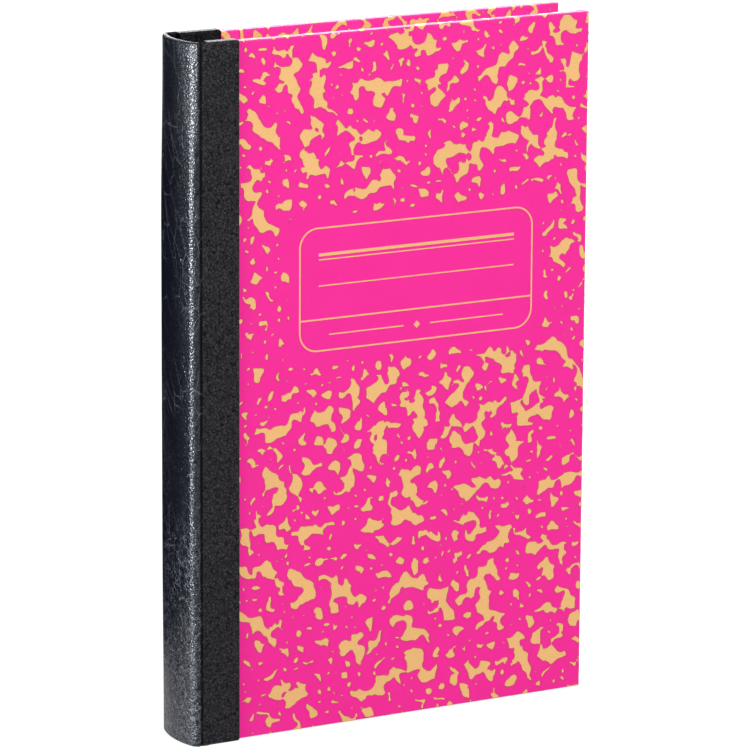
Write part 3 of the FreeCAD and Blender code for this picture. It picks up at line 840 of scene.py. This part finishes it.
# %% Drops
DROPS = 330
DROP_TRIES = 16000
DROP_CORNERS = 7
DROP_SEEDS = {"front": 5, "back": 6}
DROP_ROOM = 0.45 * MM


def drop_corners(chance, middle, radius):
    """A small angular drop, longer than it is wide."""
    heading = chance.uniform(0.0, math.pi)
    slim = chance.uniform(0.4, 0.9)
    corners = []
    for number in range(DROP_CORNERS):
        angle = 2 * math.pi * number / DROP_CORNERS
        reach = radius * chance.uniform(0.7, 1.0)
        along, aside = reach * math.cos(angle), reach * slim * math.sin(angle)
        corners.append((
            middle[0] + along * math.cos(heading) - aside * math.sin(heading),
            middle[1] + along * math.sin(heading) + aside * math.cos(heading),
        ))
    return np.array(corners)


def add_drops(side, across, up, field, columns):
    """Puts small drops into the gaps of the marbling, each with a little room round it."""
    chance = random.Random(DROP_SEEDS[side])
    across, up, field = (values.reshape(-1, columns + 1) for values in (across, up, field))
    taken = field > 0
    placed = 0
    for _ in range(DROP_TRIES):
        row, column = chance.randrange(len(across)), chance.randrange(columns + 1)
        radius = (0.6 + 1.5 * (1.0 - min(placed / DROPS, 1.0)) * chance.random()) * MM
        cells = math.ceil((radius + DROP_ROOM) / GRID)
        rows = slice(max(row - cells, 0), row + cells + 1)
        across_cells = slice(max(column - cells, 0), column + cells + 1)
        if placed == DROPS or taken[rows, across_cells].any():
            continue
        corners = drop_corners(chance, (across[row, column], up[row, column]), radius)
        depth = depth_inside(corners, across[rows, across_cells].ravel(), up[rows, across_cells].ravel())
        depth = (depth / MM).reshape(across[rows, across_cells].shape)
        field[rows, across_cells] = np.maximum(field[rows, across_cells], depth)
        taken[rows, across_cells] |= depth > -0.2
        placed += 1
    return field.ravel(), placed


# %% Trim the field
def trim_field(side, across, up, field, columns):
    """Levels the field for the wanted coverage, adds drops, then clears the label and the mitres."""
    past_across, past_up = past_face(across, up)
    clear = label_clearance(side, across, up)
    counted = (past_across < 0) & (past_up < 0) & (clear > 0)
    field = field - np.quantile(field[counted], 1.0 - BASE_COVER)
    field, placed = add_drops(side, across, up, field, columns)
    print(side, "marbling covers", round((field[counted] > 0).mean(), 3), "with", placed, "drops")
    field = np.minimum(field * MM, clear)
    inside_across = np.maximum(past_across - ROUND_EDGE, 0.0)
    inside_up = np.maximum(past_up - ROUND_EDGE, 0.0)
    field = np.where(past_across > 0, np.minimum(field, -past_up - inside_across - MITRE_GAP), field)
    field = np.where(past_up > 0, np.minimum(field, -past_across - inside_up - MITRE_GAP), field)
    return field


# %% [markdown]
# Folding is a change of place and nothing more. A point of the flat sheet past the face runs round
# a small arc, straight across the board's thickness, round a second arc and back along the inside.

# %% Fold helpers
def fold(past):
    """Round the board's edge: how far out and how deep a sheet point ends, and its outward direction."""
    flat = PAPER_THROUGH - 2 * PAPER_ROUND
    first = np.clip(past / PAPER_ROUND, 0.0, math.pi / 2)
    second = np.clip((past - QUARTER - flat) / PAPER_ROUND, 0.0, math.pi / 2)
    down = np.clip(past - QUARTER, 0.0, flat)
    back = np.maximum(past - ROUND_EDGE, 0.0)
    out = np.minimum(past, 0.0) + PAPER_ROUND * (np.sin(first) + np.cos(second) - 1.0) - back
    deep = PAPER_ROUND * (1.0 - np.cos(first) + np.sin(second)) + down
    turn = first + second
    return out, deep, np.sin(turn), -np.cos(turn)


def wrap_sheet(side, across, up, lift):
    """Places sheet points on the covered board, that far above the paper."""
    out_x, deep_x, normal_x, inward_x = fold(across - FACE_RIGHT)
    out_head, deep_head, normal_head, inward_head = fold(up - FACE_HEAD)
    out_tail, deep_tail, normal_tail, inward_tail = fold(FACE_TAIL - up)
    at_head = up > FACE_HEAD
    at_tail = up < FACE_TAIL
    x = CREASE_X + FACE_RIGHT + out_x + normal_x * lift
    z = np.where(at_head, FACE_HEAD + out_head + normal_head * lift, up)
    z = np.where(at_tail, FACE_TAIL - out_tail - normal_tail * lift, z)
    inward = np.where(at_head, inward_head, np.where(at_tail, inward_tail, inward_x))
    deep = deep_x + np.where(at_head, deep_head, 0.0) + np.where(at_tail, deep_tail, 0.0)
    paper_face = HALF_DEPTH - PAPER_DEPTH
    y = OUTWARD[side] * (paper_face - deep - inward * lift)
    return np.stack((x, y, z), axis=1)


def read_places(piece):
    places = np.empty(len(piece.data.vertices) * 3)
    piece.data.vertices.foreach_get("co", places)
    return places.reshape(-1, 3)


def write_places(piece, places):
    piece.data.vertices.foreach_set("co", places.astype(np.float32).ravel())
    piece.data.update()


# %% [markdown]
# Each fleck has a thin line of painted shade round it, standing in for the shade where the stamp
# pressed the paper down. The line is a narrow inset of each shape with a finish of its own.

# %% Gold foil material
def make_gold_foil():
    material, tree, shader = new_material("gold_foil", Metallic=0.55)
    spot = object_place(tree)
    fine = tree.noise(spot, 2600.0, 3.0).outputs["Fac"]
    broad = tree.noise(spot, 55.0, 2.0).outputs["Fac"]
    shade = tree.ramp(fine, 0.3, 0.7)
    colour = tree.mix(shade, (0.68, 0.385, 0.140, 1.0), (0.745, 0.442, 0.183, 1.0))
    tree.feed(shader, "Base Color", colour)
    tree.feed(shader, "Roughness", tree.ramp(broad, 0.3, 0.7, 0.42, 0.56))
    tree.feed(shader, "Normal", tree.bump(fine, 0.00001, 0.5))
    return material


def make_foil_rim_shade():
    material, tree, shader = new_material("foil_rim_shade", Roughness=0.6, Metallic=0.3)
    fine = tree.noise(object_place(tree), 1800.0, 2.0).outputs["Fac"]
    # Painted shade: a dark pink-brown rim round each fleck
    tree.feed(shader, "Base Color", tree.mix(fine, (0.36, 0.035, 0.070, 1.0), (0.46, 0.075, 0.085, 1.0)))
    tree.feed(shader, "Normal", tree.bump(fine, 0.00001, 0.4))
    return material


gold_foil = make_gold_foil()
foil_rim_shade = make_foil_rim_shade()
print("made", gold_foil.name, "and", foil_rim_shade.name)

# %% [markdown]
# Now the foil itself. A flat grid is lifted by the field and bisected at nothing, so that only the
# marbling is left. It is cut along each fold too, so that it bends cleanly there, and then wrapped.
# An inset gives each fleck its rim of painted shade, and the Solidify modifier its thickness, with
# the same painted shade on its sides.

# %% Stamp the foil
FOIL_THICK = 0.05 * MM
FOIL_RIM = 0.16 * MM


def cut_across(where, direction, **clear):
    bpy.ops.mesh.select_all(action="SELECT")
    bpy.ops.mesh.bisect(plane_co=where, plane_no=direction, **clear)


def stamp_foil(side):
    """The marbling of one cover as thin foil, folded round the board's edges."""
    left = STRIP[side] - 0.1 * MM
    right = FACE_RIGHT + ROUND_EDGE + INSIDE_SHOWN
    bottom = FACE_TAIL - ROUND_EDGE - INSIDE_SHOWN
    top = FACE_HEAD + ROUND_EDGE + INSIDE_SHOWN
    bpy.ops.object.select_all(action="DESELECT")
    columns = round((right - left) / GRID)
    rows = round((top - bottom) / GRID)
    bpy.ops.mesh.primitive_grid_add(x_subdivisions=columns, y_subdivisions=rows, size=1.0)
    piece = bpy.context.object
    piece.name = side + "_gold_marbling"
    piece.data.name = piece.name
    edit_all(piece)
    bpy.ops.transform.resize(value=(right - left, top - bottom, 1.0))
    bpy.ops.transform.translate(value=((left + right) / 2, (bottom + top) / 2, 0.0))
    leave_edit_mode()

    places = read_places(piece)
    across, up = places[:, 0], places[:, 1]
    field = trim_field(side, across, up, marbling_field(side, across, up), columns)
    places[:, 2] = np.clip(field, -1.0 * MM, 1.0 * MM)
    write_places(piece, places)

    edit_all(piece)
    cut_across((0.0, 0.0, 0.0), (0.0, 0.0, 1.0), clear_inner=True)
    bpy.ops.mesh.select_all(action="SELECT")
    bpy.ops.transform.resize(value=(1.0, 1.0, 0.0), center_override=(0.0, 0.0, 0.0))
    for share in (0.0, 0.5, 1.0):
        for past in (QUARTER * share, ROUND_EDGE - QUARTER * (1.0 - share)):
            cut_across((FACE_RIGHT + past, 0.0, 0.0), (1.0, 0.0, 0.0))
            cut_across((0.0, FACE_HEAD + past, 0.0), (0.0, 1.0, 0.0))
            cut_across((0.0, FACE_TAIL - past, 0.0), (0.0, 1.0, 0.0))
    leave_edit_mode()

    places = read_places(piece)
    write_places(piece, wrap_sheet(side, places[:, 0], places[:, 1], FOIL_THICK))
    piece.data.materials.append(gold_foil)
    piece.data.materials.append(foil_rim_shade)
    edit_all(piece)
    if side == "back":
        bpy.ops.mesh.flip_normals()
    bpy.ops.mesh.remove_doubles(threshold=0.02 * MM)
    bpy.ops.mesh.dissolve_limited(angle_limit=math.radians(2.0))
    bpy.ops.mesh.select_all(action="SELECT")
    bpy.ops.mesh.quads_convert_to_tris()
    piece.active_material_index = 1
    bpy.ops.object.material_slot_assign()
    bpy.ops.mesh.inset(thickness=FOIL_RIM, use_even_offset=False)
    piece.active_material_index = 0
    bpy.ops.object.material_slot_assign()
    leave_edit_mode()
    add_modifier(piece, "SOLIDIFY", thickness=FOIL_THICK, offset=-1.0, use_rim_only=True,
                 material_offset_rim=1)
    return piece


marbling = {side: stamp_foil(side) for side in ("front", "back")}
for side, piece in marbling.items():
    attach(piece, side + "_cover")
    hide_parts(side + "_gold_flecks")
    facing = [p for p in piece.data.polygons if abs(p.normal.y) > 0.99 and abs(p.center.y) > 10 * MM]
    gold_area = sum(p.area for p in facing) / MM ** 2
    print(piece.name, count_triangles(piece), "triangles,", round(gold_area), "mm2")

# %% [markdown]
# The label is bare: a gold outline with one rule across, which the CAD gives. Where a maker would
# print words there are only plain foil rules, a long pair for a title, a third long one to write on,
# and two short ones with a lozenge between them in the foot band.

# %% Label rules
RULE_FINE = 0.35 * MM
RULE_BOLD = 0.9 * MM


RULE_LONG = 66.0 * MM
RULE_SHORT = 25.0 * MM
LONG_RULES = ((8.2 * MM, RULE_BOLD), (9.7 * MM, RULE_FINE), (17.5 * MM, RULE_FINE))
FOOT_UP = 4.9 * MM
FOOT_ASIDE = 17.0 * MM
LOZENGE = 2.2 * MM


def thicken_at(middle):
    """Gives the plane at the origin the foil's thickness and moves it to its place."""
    bpy.ops.mesh.extrude_region_move(TRANSFORM_OT_translate={"value": (0.0, 0.0, FOIL_THICK)})
    bpy.ops.mesh.select_linked()
    bpy.ops.transform.translate(value=(middle[0], middle[1], 0.0))
    bpy.ops.mesh.select_all(action="DESELECT")


def add_bar(middle, width, height):
    bpy.ops.mesh.primitive_plane_add(size=1.0)
    bpy.ops.transform.resize(value=(width, height, 1.0), center_override=(0.0, 0.0, 0.0))
    thicken_at(middle)


def add_lozenge(middle, width):
    bpy.ops.mesh.primitive_plane_add(size=width / math.sqrt(2.0))
    bpy.ops.transform.rotate(value=math.pi / 4, orient_axis="Z", center_override=(0.0, 0.0, 0.0))
    thicken_at(middle)


def make_label_rules():
    low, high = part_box("label_outline")
    centre = (low.x + high.x) / 2
    foot = low.z + FOOT_UP
    piece = edit_new_mesh("label_rules")
    bpy.ops.mesh.delete(type="VERT")
    for down, thick in LONG_RULES:
        add_bar((centre, high.z - down), RULE_LONG, thick)
    for aside in (-FOOT_ASIDE, FOOT_ASIDE):
        add_bar((centre + aside, foot), RULE_SHORT, RULE_FINE)
    add_lozenge((centre, foot), LOZENGE)
    bpy.ops.mesh.select_all(action="SELECT")
    bpy.ops.transform.rotate(value=-math.pi / 2, orient_axis="X", center_override=(0.0, 0.0, 0.0))
    bpy.ops.transform.translate(value=(0.0, -(HALF_DEPTH - PAPER_DEPTH), 0.0))
    bpy.ops.mesh.normals_make_consistent(inside=False)
    leave_edit_mode()
    piece.data.materials.append(gold_foil)
    return piece


label_rules = make_label_rules()
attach(label_rules, "front_cover")
print("label rules from", [tuple(round(c, 4) for c in label_rules.bound_box[i]) for i in (0, 6)])

# %% [markdown]
# The endpaper is one folded sheet: a flyleaf on the book block and a half pasted on the board.
# Between them it is pressed down into the joint in a small pleat. It is a drawn line that is
# extruded up the book.

# %% Endpaper pleats
PLEAT = (
    (0.10, 3.97), (0.45, 3.93), (0.62, 3.70), (0.68, 3.20), (0.72, 2.50), (0.80, 1.95), (1.02, 1.58),
    (1.35, 1.42), (1.75, 1.42), (2.05, 1.58), (2.24, 1.95), (2.32, 2.50), (2.36, 3.10), (2.50, 3.52),
    (2.85, 3.66),
)
PLEAT_TAIL = 4.6 * MM
PLEAT_HEAD = 205.4 * MM
PLEAT_ROWS = 24
PLEAT_THICK = 0.12 * MM


def make_pleat(side):
    piece = edit_new_mesh(side + "_endpaper_pleat")
    points = [place(side, a * MM, d * MM, PLEAT_TAIL) for a, d in PLEAT]
    bpy.ops.transform.translate(value=points[0])
    for point, following in zip(points, points[1:]):
        extrude_by(following - point)
    bpy.ops.mesh.select_all(action="SELECT")
    for _ in range(PLEAT_ROWS):
        extrude_by((0.0, 0.0, (PLEAT_HEAD - PLEAT_TAIL) / PLEAT_ROWS))
    bpy.ops.mesh.select_all(action="SELECT")
    bpy.ops.mesh.normals_make_consistent(inside=False)
    leave_edit_mode()
    add_modifier(piece, "SOLIDIFY", thickness=PLEAT_THICK, offset=0.0)
    smooth_by_angle(piece)
    keep_rest_place(piece)
    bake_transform(piece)
    return piece


pleats = {side: make_pleat(side) for side in ("front", "back")}
print("pleats:", [count_triangles(piece) for piece in pleats.values()], "triangles")

# %% [markdown]
# The cover paper is a smooth coated sheet printed in one strong pink. Up close it has a faint
# tooth and the colour varies a little, because printed ink never lies quite even.

# %% Paper materials
def make_cover_paper():
    material, tree, shader = new_material("cover_paper", IOR=1.4)
    spot = object_place(tree)
    tooth = use_group(tree, paper_tooth, Place=spot, Fibres=1600.0)
    colour = tree.mix(tooth["Cloud"], (0.89, 0.011, 0.290, 1.0), (0.94, 0.018, 0.325, 1.0))
    tree.feed(shader, "Base Color", colour)
    tree.feed(shader, "Roughness", tree.ramp(tooth["Height"], 0.3, 0.7, 0.40, 0.50))
    tree.feed(shader, "Normal", tree.bump(tooth["Height"], 0.00002, 0.5))
    return material


def make_plain_paper(name, dark, light, fibres, depth):
    material, tree, shader = new_material(name, Roughness=0.85, IOR=1.45)
    spot = object_place(tree)
    tooth = use_group(tree, paper_tooth, Place=spot, Fibres=fibres)
    colour = tree.mix(tree.ramp(tooth["Height"], 0.3, 0.7), (*dark, 1.0), (*light, 1.0))
    tree.feed(shader, "Base Color", colour)
    tree.feed(shader, "Normal", tree.bump(tooth["Height"], depth))
    return material


cover_paper = make_cover_paper()
endpaper = make_plain_paper("endpaper", (0.72, 0.68, 0.58), (0.80, 0.76, 0.67), 1400.0, 0.00003)
board = make_plain_paper("board", (0.20, 0.19, 0.17), (0.33, 0.31, 0.28), 700.0, 0.00012)
card = make_plain_paper("card", (0.36, 0.30, 0.22), (0.46, 0.39, 0.29), 900.0, 0.00008)
lining = make_plain_paper("lining", (0.33, 0.22, 0.12), (0.45, 0.31, 0.18), 800.0, 0.00008)
for piece in pleats.values():
    piece.data.materials.append(endpaper)

# %% [markdown]
# The block's edges show every leaf. The lines run along the leaves, and groups of leaves stand
# a hair apart where the sewn sections meet. The colour follows the height, which is uneven from
# leaf to leaf; the gaps between leaves are painted darker as shade, and the seams between sections
# darker still. The pattern depends on the depth through the block only, pushed a little by noise,
# so it is right on the head, the tail and the fore-edge at once.

# %% Page edges
LEAF = 0.14 * MM
SECTION = 1.7 * MM
LEAF_DRIFT = 0.6 * MM


def make_pages():
    material, tree, shader = new_material("pages", Roughness=0.8, IOR=1.45)
    spot = object_place(tree)
    drift = tree.noise(spot, 30.0, 3.0).outputs["Fac"]
    parts = tree.add("ShaderNodeSeparateXYZ", n0=spot).outputs
    depth = tree.maths("ADD", parts["Y"], tree.maths("MULTIPLY", drift, LEAF_DRIFT))
    leaf = tree.maths("FRACT", tree.maths("MULTIPLY", depth, 1.0 / LEAF))
    line = tree.maths("PINGPONG", leaf, 0.5)
    section = tree.maths("FRACT", tree.maths("MULTIPLY", depth, 1.0 / SECTION))
    seam = tree.ramp(tree.maths("PINGPONG", section, 0.5), 0.0, 0.05, 1.0, 0.0)
    stretch = tree.add("ShaderNodeMapping", n0=spot, n3=(40.0, 7000.0, 40.0)).outputs[0]
    uneven = tree.noise(stretch, 1.0, 2.0).outputs["Fac"]
    height = tree.maths("ADD", tree.maths("MULTIPLY", line, 1.2), tree.maths("MULTIPLY", uneven, 0.8))
    height = tree.maths("SUBTRACT", height, seam)
    # Painted shade: darker in the gaps between leaves and at the seams between sections
    dark = tree.maths("MULTIPLY", seam, 0.5)
    shade = tree.maths("SUBTRACT", tree.ramp(height, 0.1, 1.0), dark, clamp=True)
    colour = tree.mix(shade, (0.60, 0.55, 0.44, 1.0), (0.86, 0.82, 0.72, 1.0))
    tree.feed(shader, "Base Color", colour)
    tree.feed(shader, "Normal", tree.bump(height, 0.00005))
    return material


pages = make_pages()
print("leaves every", round(LEAF, 5), "m, sections every", round(SECTION, 4), "m")

# %% [markdown]
# The muslin round the block's back is an open plain weave, stiff with paste. Two sets of waves
# cross for its threads. The headbands are a cord wound with thread in two colours, one turn of
# each after the other.

# %% Cloth and thread
MULL_THREAD = 0.9 * MM
MULL_DRIFT = 0.3 * MM
BAND_TURN = 1.5 * MM
BAND_STRAND = 0.25 * MM


def make_mull():
    material, tree, shader = new_material("mull", Roughness=0.9)
    spot = object_place(tree)
    push = tree.noise(spot, 300.0, 2.0).outputs["Fac"]
    parts = tree.add("ShaderNodeSeparateXYZ", n0=spot).outputs
    threads = []
    for axis in ("Y", "Z"):
        moved = tree.maths("ADD", parts[axis], tree.maths("MULTIPLY", push, MULL_DRIFT))
        beat = tree.maths("MULTIPLY", moved, 2 * math.pi / MULL_THREAD)
        threads.append(tree.maths("ABSOLUTE", tree.maths("SINE", beat)))
    weave = tree.maths("MAXIMUM", threads[0], threads[1])
    colour = tree.mix(tree.ramp(weave, 0.3, 0.95), (0.30, 0.26, 0.19, 1.0), (0.74, 0.69, 0.58, 1.0))
    tree.feed(shader, "Base Color", colour)
    tree.feed(shader, "Normal", tree.bump(weave, 0.00015))
    return material


def make_headband():
    material, tree, shader = new_material("headband", Roughness=0.6, Sheen_Weight=0.3)
    spot = object_place(tree)
    parts = tree.add("ShaderNodeSeparateXYZ", n0=spot).outputs
    lean = tree.maths("ADD", parts["Y"], tree.maths("MULTIPLY", parts["X"], 0.35))
    turn = tree.maths("FRACT", tree.maths("MULTIPLY", lean, 1.0 / BAND_TURN))
    second = tree.maths("GREATER_THAN", turn, 0.5)
    strand = tree.maths("PINGPONG", tree.maths("MULTIPLY", lean, 1.0 / BAND_STRAND), 0.5)
    colour = tree.mix(second, (0.80, 0.77, 0.70, 1.0), (0.025, 0.028, 0.045, 1.0))
    tree.feed(shader, "Base Color", colour)
    tree.feed(shader, "Normal", tree.bump(strand, 0.00010))
    return material


mull = make_mull()
headband = make_headband()
print("made", mull.name, "and", headband.name)

# %% [markdown]
# Every node of the CAD gets its finish here, by name. Those that a finer piece stands for are
# hidden, but they keep the same finish, so that nothing is ever plain.

# %% Finish the CAD's own pieces
FINISHES = {
    "page_block": pages, "front_flyleaf": endpaper, "back_flyleaf": endpaper,
    "spine_mull": mull, "spine_lining": lining, "head_band": headband, "tail_band": headband,
    "spine_stiffener": card, "spine_leather": leather,
    "front_board": board, "front_cover_leather": leather, "front_cover_paper": cover_paper,
    "front_pastedown": endpaper, "front_gold_flecks": gold_foil, "label_outline": gold_foil,
    "back_board": board, "back_cover_leather": leather, "back_cover_paper": cover_paper,
    "back_pastedown": endpaper, "back_gold_flecks": gold_foil,
}
for name, finish in FINISHES.items():
    node = frame["nodes"][name]
    node.data.materials.clear()
    node.data.materials.append(finish)
print(len(FINISHES), "CAD nodes finished of", len(frame["nodes"]))

# %% [markdown]
# The book stands on a pale floor in a white room. The floor and the room are bright only for the
# rays that show a background: those to the camera, those through glass and those of a reflection.
# For the light that falls on the book both are much dimmer, so that colours stay as written and
# the soft shadow round the tail shows.

# %% Floor and room
FLOOR_SIZE = 8.0
FLOOR_GREY = (0.26, 0.26, 0.26, 1.0)
FLOOR_GLOW = 0.84
ROOM_LIGHT = 0.24
WHITE = (1.0, 1.0, 1.0, 1.0)


def background_rays(tree):
    """1 for the rays that show the background: to the camera, in a reflection or through glass."""
    path = tree.add("ShaderNodeLightPath").outputs
    direct = tree.maths("MAXIMUM", path["Is Camera Ray"], path["Is Transmission Ray"])
    return tree.maths("MAXIMUM", direct, path["Is Glossy Ray"])


def make_floor():
    bpy.ops.object.select_all(action="DESELECT")
    bpy.ops.mesh.primitive_plane_add(size=FLOOR_SIZE)
    floor = bpy.context.object
    floor.name = "floor"
    material = bpy.data.materials.new("floor")
    material.use_nodes = True
    tree = Tree(material.node_tree)
    material.node_tree.nodes.remove(material.node_tree.nodes["Principled BSDF"])
    plain = tree.add("ShaderNodeBsdfDiffuse", Color=FLOOR_GREY)
    seen = tree.maths("MULTIPLY", background_rays(tree), FLOOR_GLOW)
    glow = tree.add("ShaderNodeEmission", Color=WHITE, Strength=seen)
    both = tree.add("ShaderNodeAddShader", n0=plain.outputs[0], n1=glow.outputs[0])
    tree.feed(material.node_tree.nodes["Material Output"], "Surface", both.outputs[0])
    floor.data.materials.append(material)


def make_room():
    world = bpy.data.worlds.new("studio")
    scene.world = world
    world.use_nodes = True
    tree = Tree(world.node_tree)
    ground = world.node_tree.nodes["Background"]
    tree.feed(ground, "Color", WHITE)
    tree.feed(ground, "Strength", tree.ramp(background_rays(tree), 0.0, 1.0, ROOM_LIGHT, 1.0))


make_floor()
make_room()
print("floor of", FLOOR_SIZE, "m, room light", ROOM_LIGHT)

# %% [markdown]
# Dark polished leather mirrors what is round it, and in a white room the spine would look grey. A
# photographer puts up black card for that. This one lies and stands behind on the left, where the
# spine mirrors it towards the camera. It is seen in reflections only: it throws no shadow and
# takes no light away.

# %% Black card
CARD_TURN = math.radians(-143.0)
CARD_WIDE = 0.90
CARD_ASIDE = -0.17
CARD_LONG = 0.50
CARD_AWAY = 0.31
CARD_TALL = 0.60
CARD_UP = 2.0 * MM
CARD_BLACK = (0.004, 0.004, 0.006, 1.0)


def make_black_card():
    """A bent card behind on the left: one half lies on the floor, the other stands."""
    bpy.ops.object.select_all(action="DESELECT")
    bpy.ops.mesh.primitive_plane_add(size=1.0)
    card = bpy.context.object
    card.name = "black_card"
    edit_all(card)
    bpy.ops.transform.resize(value=(CARD_WIDE, CARD_LONG, 1.0))
    bpy.ops.transform.translate(value=(CARD_ASIDE, -CARD_AWAY, CARD_UP))
    mesh = bmesh.from_edit_mesh(card.data)
    for vertex in mesh.verts:
        vertex.select_set(vertex.co.y < -CARD_AWAY)
    mesh.select_flush(False)
    bmesh.update_edit_mesh(card.data)
    extrude_by((0.0, 0.0, CARD_TALL))
    bpy.ops.mesh.select_all(action="SELECT")
    bpy.ops.transform.rotate(value=-CARD_TURN, orient_axis="Z", center_override=(0.0, 0.0, 0.0))
    bpy.ops.transform.translate(value=(SPINE_BACK, 0.0, 0.0))
    leave_edit_mode()
    black = new_material("black_card", Base_Color=CARD_BLACK, Roughness=1.0, Specular_IOR_Level=0.0)[0]
    card.data.materials.append(black)
    card.visible_camera = False
    card.visible_diffuse = False
    card.visible_shadow = False
    return card


black_card = make_black_card()
print("black card:", [tuple(round(c, 3) for c in v.co) for v in black_card.data.vertices])

# %% [markdown]
# Soft lamps stand all round: one low on the left, a large one in front that lights the cover, one
# above for the head and one behind for the back cover. The glint on the spine's shoulder comes
# from a last lamp that only reflections see, so that it doesn't light the colours on the left
# more than the others.

# %% Lamps
def add_lamp(name, azimuth, elevation, distance, size, power, colour=(1.0, 1.0, 1.0)):
    """A softbox that looks at the middle of the book."""
    data = bpy.data.lights.new(name, "AREA")
    data.shape = "RECTANGLE"
    data.size, data.size_y = size
    data.energy = power
    data.color = colour
    lamp = bpy.data.objects.new(name, data)
    scene.collection.objects.link(lamp)
    turn, rise = math.radians(azimuth), math.radians(elevation)
    away = Vector((math.sin(turn) * math.cos(rise), -math.cos(turn) * math.cos(rise), math.sin(rise)))
    centre = Vector((0.0, 0.0, HEIGHT / 2))
    lamp.location = centre + away * distance
    lamp.rotation_euler = away.to_track_quat("Z", "Y").to_euler()
    return lamp


LOW_LEFT = (-82.0, 5.0)
NARROW = (0.34, 0.6)
lamps = [
    add_lamp("left", *LOW_LEFT, 1.3, NARROW, 15.0, (0.90, 0.95, 1.0)),
    add_lamp("front", 12.0, 30.0, 1.8, (1.0, 1.0), 22.6),
    add_lamp("top", -20.0, 78.0, 1.2, (0.7, 0.7), 5.0),
    add_lamp("back", 160.0, 32.0, 1.8, (1.0, 1.0), 24.0),
]
glint = add_lamp("glint", *LOW_LEFT, 1.25, NARROW, 50.0, (0.84, 0.91, 1.0))
glint.visible_diffuse = False
print([lamp.name for lamp in lamps], "and", glint.name)
